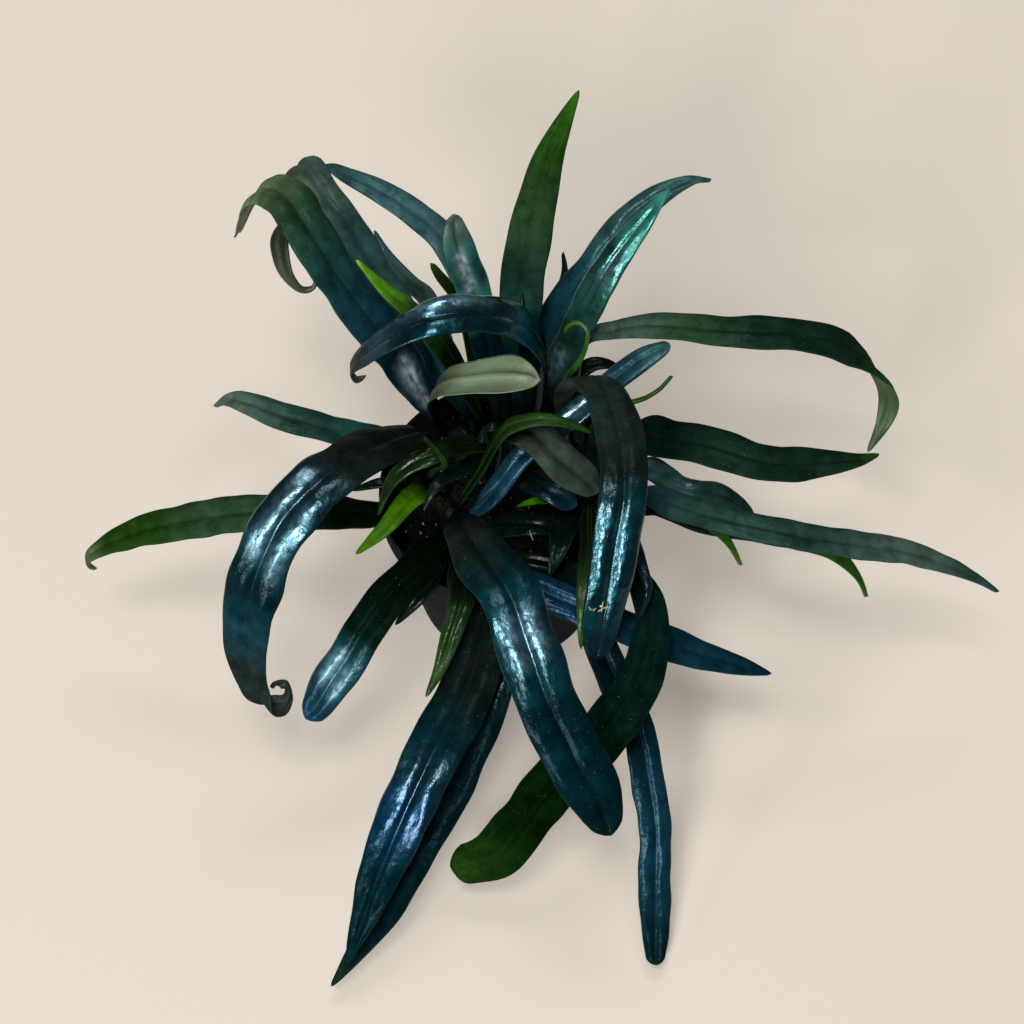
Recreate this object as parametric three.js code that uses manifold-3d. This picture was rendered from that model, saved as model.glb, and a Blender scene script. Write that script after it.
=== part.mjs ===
// A blue oil fern in a round plastic nursery pot: 57 fronds, their rhizome and the soil.
// Millimetres, +Z up. The origin is the middle of the pot's flat base, on the surface it stands on.
// +X is to the right, and the plant is looked at from -Y, from well above.

import * as THREE from "three";
import Module from "manifold-3d";
import { mergeVertices } from "three/addons/utils/BufferGeometryUtils.js";

const wasm = await Module();
wasm.setup();

// Driving dimensions, in millimetres
const GAP = 0.3;
const POT_HEIGHT = 90;
const RIM_RADIUS = 60;
const RIM_BAND = 11;
const RIM_STEP = 2.2;
const BASE_RADIUS = 43;
const WALL = 1.4;
const FLOOR_THICKNESS = 2;
const DRAIN_COUNT = 8;
const DRAIN_RADIUS = 4;
const DRAIN_RING = 31;
const POT_SIDES = 40;
const DRAIN_SIDES = 10;
const CORNER = 0.6;

const SOIL_LEVEL = 78;
const SOIL_RINGS = 5;
const SOIL_SECTORS = 20;
const SOIL_LUMP = 1.3;

const STIPE_FOOT = 66;
const STIPE_TOP = 84;
const STIPE_LENGTH = 22;
const STIPE_HALF = 1.4;
const STIPE_THICK = 2.2;
const HOLE_RADIUS = 3;
const HOLE_SIDES = 5;
const HOLE_BOTTOM = STIPE_FOOT - GAP;
const RHIZOME_RADIUS = 4.6;
const RHIZOME_STEPS = 10;

const BLADE_THICK = 0.9;
const RIB_THICK = 1.5;
const EDGE_THICK = 0.75;
const TIP_HALF = 0.8;
const STATION_STEP = 17;
const TIP_CROWD = 1.3;
const WAVE_LENGTH = 46;
const WAVE_HEIGHT = 0.055;

// How the width runs, as fractions of the length: where it is full, where the tip's taper starts,
// how blunt the taper is, and the share of the width that is left at the very end
const SHAPES = {
  strap: { full: 0.34, taper: 0.62, point: 2.2, end: 0 },
  lance: { full: 0.5, taper: 0.5, point: 1.8, end: 0 },
  tall: { full: 0.5, taper: 0.58, point: 2.2, end: 0 },
  blunt: { full: 0.34, taper: 0.78, point: 3.4, end: 0.2 },
  round: { full: 0.34, taper: 0.8, point: 2.6, end: 0.45 },
  early: { full: 0.27, taper: 0.8, point: 3.4, end: 0.3 },
  late: { full: 0.6, taper: 0.8, point: 3.4, end: 0.25 },
  broad_end: { full: 0.62, taper: 0.72, point: 2, end: 0 },
  club: { full: 0.66, taper: 0.88, point: 3, end: 0.6 },
  spoon: { full: 0.62, taper: 0.8, point: 3.4, end: 0.3 },
  paddle: { full: 1, taper: 0.93, point: 2.6, end: 0.3 },
  forked: { full: 0.34, taper: 0.66, point: 1.5, end: 0 },
};

const TINTS = {
  blue: { color: 0x1d3f5a, roughness: 0.34 },
  teal: { color: 0x1c5150, roughness: 0.34 },
  deep: { color: 0x1c352f, roughness: 0.4 },
  green: { color: 0x2c4a22, roughness: 0.42 },
  leaf: { color: 0x47712a, roughness: 0.42 },
  young: { color: 0x6d9418, roughness: 0.45 },
};

// Every frond: its full width, its foot in the soil as [x, y] and its route from there to the tip,
// as [x, y, z] points chosen by hand. The twist turns the blade about its rib, in degrees, and fork
// is the depth of a forked tip. A curl has more steps, crowded towards its tip.
const FRONDS = [
  // Behind the crown
  {
    name: "back_tall", width: 20.5, shape: "tall", tint: "deep",
    foot: [4, 27],
    route: [[6, 43, 118], [6, 65, 152], [11, 78, 190], [20, 97, 225], [32, 116, 243]],
  },
  {
    name: "back_right_blue", width: 16, shape: "strap", tint: "blue",
    foot: [9, 41],
    route: [[18, 65, 127], [38, 80, 156], [61, 100, 176], [84, 111, 182], [94, 114, 178]],
  },
  {
    name: "back_right_teal", width: 17, shape: "strap", tint: "teal",
    foot: [18, 35],
    route: [[16, 40, 104], [22, 44, 122], [28, 46, 144], [45, 59, 186], [63, 72, 210], [73, 81, 218]],
  },
  {
    name: "back_right_tip", width: 6, shape: "lance", tint: "deep",
    foot: [17, 43],
    route: [[25, 87, 120], [27, 90, 140], [26, 93, 150]],
  },
  {
    name: "back_grey_tip", width: 7, shape: "lance", tint: "deep",
    foot: [11, 30],
    route: [[8, 43, 152], [7, 49, 168], [7, 55, 174]],
  },
  {
    name: "back_teal_short", width: 16.5, shape: "blunt", tint: "teal",
    foot: [0, 39],
    route: [[-9, 59, 124], [-15, 70, 152], [-19, 72, 170], [-23, 78, 184], [-24, 85, 192]],
  },
  {
    name: "back_small", width: 5.5, shape: "blunt", tint: "green",
    foot: [-13, 46],
    route: [[-21, 72, 134], [-26, 75, 146], [-31, 77, 154], [-35, 80, 160]],
  },
  {
    name: "back_left_strip", width: 14, shape: "strap", tint: "blue",
    foot: [-5, 43],
    route: [[-15, 74, 114], [-20, 87, 136], [-30, 101, 150], [-41, 108, 158], [-59, 117, 166],
      [-75, 125, 168], [-83, 132, 164], [-88, 137, 156]],
  },
  {
    name: "back_left_grey", width: 17, shape: "blunt", tint: "blue",
    foot: [-16, 38], steps: 14,
    route: [[-50, 65, 144], [-56, 71, 152], [-69, 88, 168], [-81, 101, 178], [-93, 120, 180],
      [-98, 128, 170], [-101, 132, 156]],
  },
  {
    name: "back_left_hidden", width: 10, shape: "lance", tint: "deep",
    foot: [-21, 47],
    route: [[-37, 81, 128], [-44, 83, 138], [-56, 94, 148], [-62, 104, 152]],
  },
  {
    name: "back_left_loop", width: 12, shape: "lance", tint: "green",
    foot: [-32, 42], steps: 17, crowd: 1.3,
    route: [[-45, 58, 130], [-68, 80, 150], [-88, 99, 160], [-100, 104, 162], [-106, 101, 154],
      [-106, 97, 142], [-103, 93, 130], [-97, 91, 122], [-92, 92, 122], [-90, 94, 126]],
  },
  {
    name: "back_left_big", width: 23, shape: "forked", tint: "blue",
    foot: [-28, 34], steps: 20, fork: 6,
    route: [[-37, 34, 112], [-48, 40, 140], [-68, 50, 174], [-80, 60, 191], [-90, 71, 203],
      [-98, 83, 207], [-107, 93, 201], [-115, 101, 186], [-121, 106, 164], [-127, 108, 142]],
  },
  {
    name: "green_lance", width: 15, shape: "lance", tint: "leaf",
    foot: [-8, 31],
    route: [[-14, 33, 112], [-21, 38, 130], [-31, 42, 154], [-45, 43, 180], [-54, 45, 190],
      [-67, 53, 202]],
  },
  {
    name: "back_arch", width: 20, shape: "strap", tint: "blue",
    foot: [10, 22], steps: 20, crowd: 1.2,
    route: [[16, 31, 130], [17, 30, 160], [11, 27, 184], [2, 25, 198], [-12, 21, 208], [-24, 18, 212],
      [-36, 15, 212], [-50, 14, 202], [-62, 15, 186], [-70, 18, 168], [-68, 18, 158], [-64, 21, 156]],
  },
  {
    name: "pale_folded", width: 20, shape: "paddle", tint: "green",
    foot: [-26, 24], steps: 13,
    route: [[-34, 22, 130], [-32, 19, 148], [-26, 17, 158], [-16, 15, 164], [-3, 14, 168], [8, 12, 170],
      [15, 11, 168]],
    twist: 180,
  },
  {
    name: "curled_young", width: 4.5, shape: "strap", tint: "leaf",
    foot: [23, 40], steps: 14, crowd: 1.5,
    route: [[25, 32, 122], [27, 29, 141], [33, 28, 158], [36, 30, 170], [36, 33, 176], [32, 36, 177],
      [28, 36, 175], [26, 35, 171]],
    twist: 60,
  },
  // To the right
  {
    name: "right_loop", width: 18, shape: "broad_end", tint: "deep",
    foot: [32, 32], steps: 20,
    route: [[37, 52, 140], [49, 49, 152], [61, 46, 160], [81, 40, 168], [98, 36, 171], [116, 35, 171],
      [132, 36, 168], [145, 37, 162], [157, 38, 152], [167, 38, 140], [175, 38, 124], [179, 37, 108],
      [177, 32, 98], [170, 22, 88]],
    twist: [0, 0, 0, 0, 0, 0, 0, 0, 0, -20, -50, -60, -60, -60],
  },
  {
    name: "right_dark_arch", width: 10, shape: "lance", tint: "deep",
    foot: [29, 39],
    route: [[30, 48, 103], [33, 51, 111], [41, 55, 114], [51, 55, 111], [57, 51, 104]],
  },
  {
    name: "right_inner_arch", width: 12, shape: "lance", tint: "deep",
    foot: [36, 24],
    route: [[30, 34, 102], [30, 35, 112], [35, 37, 116], [42, 38, 114]],
  },
  {
    name: "right_thread", width: 3, shape: "lance", tint: "leaf",
    foot: [40, 15],
    route: [[49, 21, 120], [55, 22, 130], [64, 21, 138], [70, 22, 144], [75, 25, 150]],
  },
  {
    name: "right_upright_dark", width: 8, shape: "lance", tint: "deep",
    foot: [36, 8],
    route: [[39, 3, 104], [39, 8, 122], [38, 12, 128]],
  },
  {
    name: "right_dark", width: 20, shape: "strap", tint: "deep",
    foot: [42, 8],
    route: [[62, 19, 108], [73, 11, 118], [88, 4, 126], [102, -2, 128], [115, -6, 127], [127, -6, 124],
      [137, -3, 120], [151, 0, 116], [163, 3, 113], [172, 6, 112]],
  },
  {
    name: "right_behind", width: 12, shape: "blunt", tint: "deep",
    foot: [47, 1],
    route: [[65, 4, 104], [78, -9, 110], [89, -12, 110], [99, -11, 104], [108, -13, 98],
      [114, -14, 92]],
  },
  {
    name: "right_long", width: 14.5, shape: "strap", tint: "teal",
    foot: [43, -8],
    route: [[64, -17, 115], [74, -28, 126], [86, -36, 132], [104, -44, 136], [127, -49, 135],
      [154, -50, 128], [178, -48, 118], [200, -47, 104], [215, -49, 94], [226, -52, 86]],
  },
  {
    name: "right_under_a", width: 10, shape: "lance", tint: "deep",
    foot: [38, -18],
    route: [[66, -20, 110], [84, -27, 115], [94, -30, 110], [102, -34, 100], [108, -39, 88]],
  },
  {
    name: "right_under_b", width: 12, shape: "strap", tint: "deep",
    foot: [40, -23],
    route: [[64, -12, 98], [89, -21, 98], [117, -27, 98], [135, -30, 97], [149, -33, 92],
      [158, -37, 85], [164, -42, 78], [167, -47, 72]],
  },
  {
    name: "right_narrow_blue", width: 7, shape: "lance", tint: "blue",
    foot: [38, -10],
    route: [[54, -36, 115], [60, -60, 128], [63, -73, 126], [60, -81, 116]],
  },
  // In front
  {
    name: "front_arch_right", width: 21, shape: "late", tint: "blue",
    foot: [29, 20], steps: 18,
    route: [[25, 27, 122], [29, 21, 148], [36, 14, 166], [43, 0, 178], [48, -18, 182], [51, -36, 178],
      [51, -52, 170], [48, -65, 158], [45, -80, 143], [42, -92, 128], [40, -101, 114]],
  },
  {
    name: "front_edge_green", width: 9, shape: "lance", tint: "leaf",
    foot: [38, -4],
    route: [[38, -16, 104], [37, -50, 124], [34, -74, 129], [33, -88, 126], [33, -97, 116]],
  },
  {
    name: "front_right_bow", width: 24, shape: "club", tint: "deep",
    foot: [32, -15], steps: 18,
    route: [[50, -37, 104], [57, -53, 112], [62, -66, 114], [65, -78, 112], [64, -91, 108],
      [60, -104, 103], [53, -115, 97], [44, -125, 88], [34, -133, 80], [24, -139, 70], [15, -145, 60],
      [5, -153, 46], [-5, -160, 34], [-16, -162, 28], [-26, -162, 25]],
  },
  {
    name: "front_right_blue", width: 17, shape: "strap", tint: "blue",
    foot: [0, -43],
    route: [[2, -54, 103], [10, -60, 108], [33, -72, 108], [60, -79, 98], [88, -82, 82], [107, -82, 71],
      [122, -80, 58]],
  },
  {
    name: "front_blue", width: 15.5, shape: "round", tint: "blue",
    foot: [16, -22],
    route: [[23, -39, 96], [29, -53, 100], [36, -63, 99], [42, -80, 92], [51, -98, 78], [60, -113, 66],
      [65, -133, 50], [68, -150, 38], [68, -169, 24], [68, -187, 14], [68, -204, 8]],
  },
  {
    name: "front_big", width: 28, shape: "early", tint: "teal",
    foot: [-24, -9],
    route: [[-22, -28, 112], [-18, -42, 124], [-10, -58, 130], [1, -77, 131], [9, -100, 126],
      [17, -122, 118], [25, -137, 110], [32, -149, 102], [39, -157, 94], [43, -164, 86],
      [46, -171, 79]],
  },
  {
    name: "front_left_long", width: 25, shape: "strap", tint: "blue",
    foot: [-11, -26],
    route: [[-9, -54, 106], [-8, -71, 108], [-12, -89, 104], [-18, -108, 98], [-32, -132, 86],
      [-41, -147, 75], [-50, -163, 62], [-59, -179, 46], [-65, -192, 34], [-70, -203, 26],
      [-72, -210, 22]],
  },
  {
    name: "front_left_under", width: 21, shape: "strap", tint: "blue",
    foot: [-8, -43],
    route: [[-3, -59, 99], [-2, -81, 94], [-8, -100, 82], [-14, -115, 72], [-22, -129, 60],
      [-30, -142, 50], [-41, -158, 38], [-49, -171, 30], [-58, -186, 22], [-68, -199, 15],
      [-74, -207, 12], [-80, -215, 10]],
  },
  {
    name: "front_small_green", width: 13, shape: "lance", tint: "green",
    foot: [-25, -31],
    route: [[-20, -74, 121], [-24, -89, 120], [-30, -105, 111], [-36, -115, 104]],
  },
  {
    name: "front_sprout", width: 5, shape: "lance", tint: "young",
    foot: [-20, -41],
    route: [[-23, -42, 90], [-26, -40, 92]],
  },
  // To the left
  {
    name: "left_front", width: 19.5, shape: "round", tint: "deep",
    foot: [-31, -18],
    route: [[-33, -38, 102], [-43, -55, 110], [-55, -68, 108], [-65, -79, 98], [-73, -88, 88],
      [-80, -94, 78], [-87, -101, 68], [-92, -105, 62]],
  },
  {
    name: "left_front_under", width: 10, shape: "lance", tint: "deep",
    foot: [-31, -28],
    route: [[-33, -45, 96], [-40, -59, 96], [-51, -68, 84]],
  },
  {
    name: "left_lower", width: 19, shape: "strap", tint: "deep",
    foot: [-43, 4], steps: 15, crowd: 1.3,
    route: [[-56, -16, 98], [-86, -24, 112], [-117, -27, 116], [-150, -26, 106], [-174, -26, 94],
      [-189, -27, 84], [-196, -29, 77], [-196, -29, 70], [-193, -29, 66]],
  },
  {
    name: "left_shaded", width: 8, shape: "lance", tint: "deep",
    foot: [-48, 11],
    route: [[-45, -2, 94], [-56, -4, 104], [-72, -6, 100]],
  },
  {
    name: "left_arch", width: 27, shape: "strap", tint: "blue",
    foot: [-36, 27], steps: 28, crowd: 1.4,
    route: [[-37, 20, 102], [-39, 18, 112], [-44, 8, 128], [-55, -8, 147], [-65, -22, 160],
      [-83, -42, 168], [-98, -57, 162], [-109, -71, 145], [-114, -80, 133], [-117, -87, 118],
      [-118, -94, 104], [-115, -103, 90], [-110, -108, 82], [-103, -106, 77], [-100, -102, 76],
      [-100, -97, 77], [-103, -95, 78], [-106, -96, 79], [-107, -98, 79]],
    twist: [0, 0, 0, 0, 0, 0, 0, 0, 0, 0, 0, 0, 0, 30, 60, 75, 80, 80, 80],
  },
  {
    name: "left_upper", width: 15, shape: "strap", tint: "teal",
    foot: [-42, 22], steps: 12, crowd: 1.3,
    route: [[-57, 17, 106], [-81, 13, 124], [-102, 16, 130], [-121, 25, 128], [-130, 30, 122],
      [-136, 31, 114]],
  },
  {
    name: "left_yellow_leaf", width: 12.5, shape: "lance", tint: "young",
    foot: [-30, -1],
    route: [[-36, -7, 104], [-45, -19, 114], [-56, -33, 112], [-69, -41, 102]],
  },
  {
    name: "left_dark_leaf", width: 12.5, shape: "lance", tint: "green",
    foot: [-8, 20],
    route: [[-10, 13, 108], [-18, 8, 119], [-27, 2, 125], [-35, -3, 127], [-45, -7, 124],
      [-52, -11, 119], [-56, -16, 112], [-59, -22, 105]],
  },
  {
    name: "left_teal_leaf", width: 10, shape: "lance", tint: "deep",
    foot: [-11, 12],
    route: [[-10, 12, 102], [-17, 2, 110], [-23, -5, 116], [-29, -11, 119], [-33, -16, 119],
      [-38, -26, 115]],
  },
  {
    name: "left_sprout", width: 4.5, shape: "lance", tint: "young",
    foot: [-37, 6],
    route: [[-34, -3, 112], [-28, -11, 132], [-32, -11, 146], [-37, -13, 158]],
  },
  // In the crown
  {
    name: "inner_blue", width: 12.5, shape: "early", tint: "blue",
    foot: [-17, -14],
    route: [[-17, -15, 90], [-8, -10, 102], [9, 1, 124], [36, 14, 144], [60, 29, 157], [74, 35, 161]],
  },
  {
    name: "inner_green_arch", width: 12, shape: "lance", tint: "leaf",
    foot: [-19, 2], steps: 12,
    route: [[-21, -12, 104], [-13, -11, 126], [-4, -4, 144], [2, -3, 153], [17, -3, 158], [31, -4, 154],
      [38, -4, 148]],
  },
  {
    name: "inner_grey_leaf", width: 18.5, shape: "spoon", tint: "deep",
    foot: [2, 21],
    route: [[3, 18, 112], [8, 5, 135], [15, -7, 147], [22, -16, 148], [31, -22, 143], [41, -25, 131]],
  },
  {
    name: "inner_dark_leaf", width: 12, shape: "spoon", tint: "blue",
    foot: [6, 5],
    route: [[8, -2, 104], [16, -11, 112], [24, -16, 112], [32, -18, 107]],
  },
  {
    name: "small_arch_a", width: 8, shape: "lance", tint: "deep",
    foot: [-18, 29],
    route: [[-14, 25, 94], [-20, 24, 104], [-27, 25, 100]],
  },
  {
    name: "small_arch_b", width: 8, shape: "lance", tint: "deep",
    foot: [-5, 10],
    route: [[-3, 13, 124], [-7, 12, 127], [-11, 12, 123], [-12, 10, 116]],
  },
  {
    name: "centre_low_dark", width: 17, shape: "lance", tint: "deep",
    foot: [-9, -14],
    route: [[-3, -19, 92], [6, -23, 99], [18, -25, 100], [25, -25, 94]],
  },
  {
    name: "centre_down_leaf", width: 14, shape: "lance", tint: "deep",
    foot: [26, -5],
    route: [[27, -22, 102], [25, -37, 112], [23, -47, 114], [19, -55, 106]],
  },
  {
    name: "centre_pale_leaf", width: 10, shape: "strap", tint: "green",
    foot: [-2, -30],
    route: [[5, -34, 87], [20, -37, 87], [34, -38, 85]],
  },
  {
    name: "centre_bright_leaf", width: 6, shape: "lance", tint: "young",
    foot: [24, 3],
    route: [[20, -5, 90], [13, -8, 94], [5, -9, 90]],
  },
];

// The rhizome's branches, each a route along the soil
const RHIZOMES = [
  [[-46, 14], [-34, 2], [-18, -14], [0, -22], [20, -18], [34, -10], [47, 2]],
  [[-34, 2], [-22, 22], [-12, 34], [4, 36], [18, 36], [30, 26]],
  [[0, -22], [6, -4], [10, 12], [24, 14], [36, 16]],
];

const clamp = (x) => Math.min(1, Math.max(0, x));
const smooth = (x) => clamp(x) * clamp(x) * (3 - 2 * clamp(x));
const mix = (a, b, t) => a + (b - a) * t;

function finish(name, geometry, color, roughness) {
  geometry.computeVertexNormals();
  const material = new THREE.MeshStandardMaterial({ color, roughness, metalness: 0 });
  const mesh = new THREE.Mesh(geometry, material);
  mesh.name = name;
  return mesh;
}

function toSolid(geometry) {
  const bare = geometry.clone();
  bare.deleteAttribute("normal");
  bare.deleteAttribute("uv");
  const merged = mergeVertices(bare, 1e-4);
  return new wasm.Manifold(new wasm.Mesh({
    numProp: 3,
    vertProperties: Float32Array.from(merged.attributes.position.array),
    triVerts: Uint32Array.from(merged.index.array),
  }));
}

// The geometry of a solid's largest body, without the slivers that cutting may leave
function toGeometry(solid) {
  const body = solid.decompose().reduce((a, b) => (a.volume() > b.volume() ? a : b));
  const mesh = body.getMesh();
  const geometry = new THREE.BufferGeometry();
  geometry.setAttribute("position", new THREE.BufferAttribute(mesh.vertProperties, 3));
  geometry.setIndex(new THREE.BufferAttribute(mesh.triVerts, 1));
  return geometry;
}

// A body of revolution about +Z from [radius, z] pairs that start and end on the axis
function turned(profile, sectors) {
  const points = profile.map(([r, z]) => new THREE.Vector2(r, z));
  const geometry = new THREE.LatheGeometry(points, sectors);
  geometry.rotateX(Math.PI / 2);
  return geometry;
}

const wallRadius = (z) => mix(BASE_RADIUS, RIM_RADIUS - RIM_STEP, z / (POT_HEIGHT - RIM_BAND));

// The whole route of a frond: straight up out of its hole in the soil, then over its own points
function fullRoute({ foot: [x, y], route }) {
  const stipe = [[x, y, STIPE_FOOT], [x, y, SOIL_LEVEL], [x, y, STIPE_TOP]];
  return [...stipe, ...route].map((p) => new THREE.Vector3(...p));
}

// The blade's half width at a distance from its foot
function halfWidth(frond, distance, length) {
  const { full, taper, point, end } = SHAPES[frond.shape];
  const u = distance / length;
  const spread = Math.max(full * length - STIPE_LENGTH, 14);
  const rise = smooth((distance - STIPE_LENGTH) / spread) ** 0.8;
  const fall = 1 - (1 - end) * clamp((u - taper) / (1 - taper)) ** point;
  const tip = frond.fork ? frond.fork * 0.55 : TIP_HALF;
  const least = mix(STIPE_HALF, tip, smooth((u - 0.5) / 0.5));
  return least + Math.max(0, frond.width / 2 - least) * rise * fall;
}

// The twist at a distance from the foot: one value for the whole blade, or between those of the points
function twistAt(frond, points, distance) {
  if (!Array.isArray(frond.twist)) return frond.twist ?? 0;
  const first = frond.twist[0];
  const twist = [first, first, first, ...frond.twist];
  let at = 0;
  for (let i = 1; i < points.length; i += 1) {
    const step = points[i].distanceTo(points[i - 1]);
    if (distance <= at + step) return mix(twist[i - 1], twist[i], (distance - at) / step);
    at += step;
  }
  return twist.at(-1);
}

// One frond: ten points round each station, five on the upper face and five below.
// Both faces are split alike, so the thin blade never meets itself.
function frondGeometry(frond, index) {
  const points = fullRoute(frond);
  const curve = new THREE.CatmullRomCurve3(points, false, "centripetal");
  curve.arcLengthDivisions = 800;
  const length = curve.getLength();
  const steps = frond.steps ?? Math.max(6, Math.round(length / STATION_STEP));
  const chord = points.at(-1).clone().sub(points[0]);
  const across = new THREE.Vector3(-chord.y, chord.x, 0).normalize();
  const crowd = frond.crowd ?? TIP_CROWD;
  const positions = [];
  for (let i = 0; i <= steps; i += 1) {
    const u = 1 - (1 - i / steps) ** crowd;
    const centre = curve.getPointAt(u);
    const along = curve.getTangentAt(u);
    const side = across.clone().addScaledVector(along, -across.dot(along)).normalize();
    side.applyAxisAngle(along, twistAt(frond, points, u * length) * Math.PI / 180);
    const up = along.clone().cross(side);
    const half = halfWidth(frond, u * length, length);
    const leafy = smooth((half - STIPE_HALF) / 3);
    const phase = u * length * 2 * Math.PI / WAVE_LENGTH + index * 1.7;
    const wave = WAVE_HEIGHT * half * leafy;
    const lift = [
      -0.1 * half * leafy + wave * Math.sin(phase),
      0.09 * half * leafy + 0.3 * wave * Math.sin(phase),
      -0.03 * half * leafy,
      0.09 * half * leafy + 0.3 * wave * Math.sin(phase + 2.2),
      -0.1 * half * leafy + wave * Math.sin(phase + 2.2),
    ];
    const thick = [EDGE_THICK, BLADE_THICK, RIB_THICK, BLADE_THICK, EDGE_THICK];
    const round = [0.7, 1.8, STIPE_THICK, 1.8, 0.7];
    const spread = [-1, -0.55, 0, 0.55, 1];
    const notch = i === steps && frond.fork ? [0.5, 0, 1, 0, 0.5] : [0, 0, 0, 0, 0];
    const point = (k, face) => {
      const share = face > 0 ? mix(0.5, 0.3, leafy) : -mix(0.5, 0.7, leafy);
      return centre.clone()
        .addScaledVector(side, spread[k] * half)
        .addScaledVector(up, lift[k] + mix(round[k], thick[k], leafy) * share)
        .addScaledVector(along, -notch[k] * (frond.fork ?? 0));
    };
    for (let k = 0; k < 5; k += 1) positions.push(...point(k, 1).toArray());
    for (let k = 0; k < 5; k += 1) positions.push(...point(k, -1).toArray());
  }
  const triangles = [];
  const quad = (a, b, c, d) => triangles.push(a, b, c, a, c, d);
  for (let i = 0; i < steps; i += 1) {
    const a = i * 10;
    const b = a + 10;
    for (let k = 0; k < 4; k += 1) {
      triangles.push(a + k, b + k, b + k + 1, a + k, b + k + 1, a + k + 1);
      const m = a + 5 + k;
      const n = b + 5 + k;
      triangles.push(m, n + 1, n, m, m + 1, n + 1);
    }
    quad(a, a + 5, b + 5, b);
    quad(a + 4, b + 4, b + 9, a + 9);
  }
  const last = steps * 10;
  for (let k = 0; k < 4; k += 1) {
    quad(k, k + 1, k + 6, k + 5);
    quad(last + k, last + k + 5, last + k + 6, last + k + 1);
  }
  const geometry = new THREE.BufferGeometry();
  geometry.setAttribute("position", new THREE.Float32BufferAttribute(positions, 3));
  geometry.setIndex(triangles);
  return geometry;
}

// A plain upright hole where a stipe stands
function stipeHole([x, y]) {
  const height = POT_HEIGHT - HOLE_BOTTOM;
  const hole = new THREE.CylinderGeometry(HOLE_RADIUS, HOLE_RADIUS, height, HOLE_SIDES);
  hole.rotateX(Math.PI / 2);
  hole.translate(x, y, HOLE_BOTTOM + height / 2);
  return toSolid(hole);
}

const allHoles = () => FRONDS.map((frond) => stipeHole(frond.foot)).reduce((a, b) => a.add(b));

// The rhizome: round branches that lie half sunk in the soil
function rhizomeSolid(radius) {
  const section = new THREE.Shape();
  section.absarc(0, 0, radius, 0, 2 * Math.PI);
  const branches = RHIZOMES.map((route, index) => {
    const height = (i) => SOIL_LEVEL + 0.6 * Math.sin(i * 2 + index);
    const points = route.map(([x, y], i) => new THREE.Vector3(x, y, height(i)));
    const extrudePath = new THREE.CatmullRomCurve3(points, false, "centripetal");
    const options = { steps: RHIZOME_STEPS, curveSegments: 3, extrudePath };
    return toSolid(new THREE.ExtrudeGeometry(section, options));
  });
  return branches.reduce((a, b) => a.add(b));
}

// The pot: a thin tapered wall, a wider rim band that steps out over it, and holes in the floor
function pot() {
  const top = POT_HEIGHT;
  const under = POT_HEIGHT - RIM_BAND;
  const inside = RIM_RADIUS - WALL - CORNER;
  let solid = toSolid(turned([
    [0, 0],
    [BASE_RADIUS - 1, 0],
    [BASE_RADIUS, 1],
    [wallRadius(under), under],
    [RIM_RADIUS - CORNER, under],
    [RIM_RADIUS, under + 1],
    [RIM_RADIUS, top - 1],
    [RIM_RADIUS - CORNER, top],
    [inside, top],
    [inside, under + WALL],
    [wallRadius(under) - WALL, under - 2],
    [wallRadius(FLOOR_THICKNESS) - WALL, FLOOR_THICKNESS],
    [0, FLOOR_THICKNESS],
  ], POT_SIDES));
  for (let i = 0; i < DRAIN_COUNT; i += 1) {
    const angle = (i + 0.5) * 2 * Math.PI / DRAIN_COUNT;
    const drain = new THREE.CylinderGeometry(DRAIN_RADIUS, DRAIN_RADIUS, 5 * FLOOR_THICKNESS, DRAIN_SIDES);
    drain.rotateX(Math.PI / 2);
    drain.translate(DRAIN_RING * Math.cos(angle), DRAIN_RING * Math.sin(angle), 0);
    solid = solid.subtract(toSolid(drain));
  }
  return toGeometry(solid);
}

// The soil's height over a point: low lumps
function soilHeight(x, y) {
  return SOIL_LEVEL + SOIL_LUMP * Math.sin(0.31 * x + 0.4 * Math.sin(0.2 * y)) * Math.cos(0.27 * y + 0.9);
}

// Soil that fills the pot, with a hole for each stipe and a bed for the rhizome
function soil(cut) {
  const bottom = FLOOR_THICKNESS + GAP;
  const shoulder = SOIL_LEVEL - 2;
  const inner = (z) => wallRadius(z) - WALL - GAP - 0.1;
  const profile = [[0, bottom], [inner(bottom), bottom], [inner(shoulder), shoulder]];
  for (let k = SOIL_RINGS; k >= 0; k -= 1) {
    profile.push([inner(shoulder) * k / (SOIL_RINGS + 0.6), SOIL_LEVEL]);
  }
  const geometry = turned(profile, SOIL_SECTORS);
  const p = geometry.attributes.position;
  for (let i = 0; i < p.count; i += 1) {
    if (p.getZ(i) > shoulder + 1) p.setZ(i, soilHeight(p.getX(i), p.getY(i)));
  }
  return toGeometry(toSolid(geometry).subtract(cut));
}

const holes = allHoles();
const bed = rhizomeSolid(RHIZOME_RADIUS + GAP + 0.1);
const group = new THREE.Group();
group.add(finish("pot", pot(), 0x2b2d2f, 0.6));
group.add(finish("soil", soil(holes.add(bed)), 0x17130f, 0.95));
group.add(finish("rhizome", toGeometry(rhizomeSolid(RHIZOME_RADIUS).subtract(holes)), 0x5a5634, 0.8));
FRONDS.forEach((frond, index) => {
  const { color, roughness } = TINTS[frond.tint];
  group.add(finish(frond.name, frondGeometry(frond, index), color, roughness));
});

export default group;
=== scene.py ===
# A blue oil fern in a black nursery pot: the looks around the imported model.
# Every measure in the tables is in millimetres, as in the part's source, and MM turns it to metres.
import math

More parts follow.
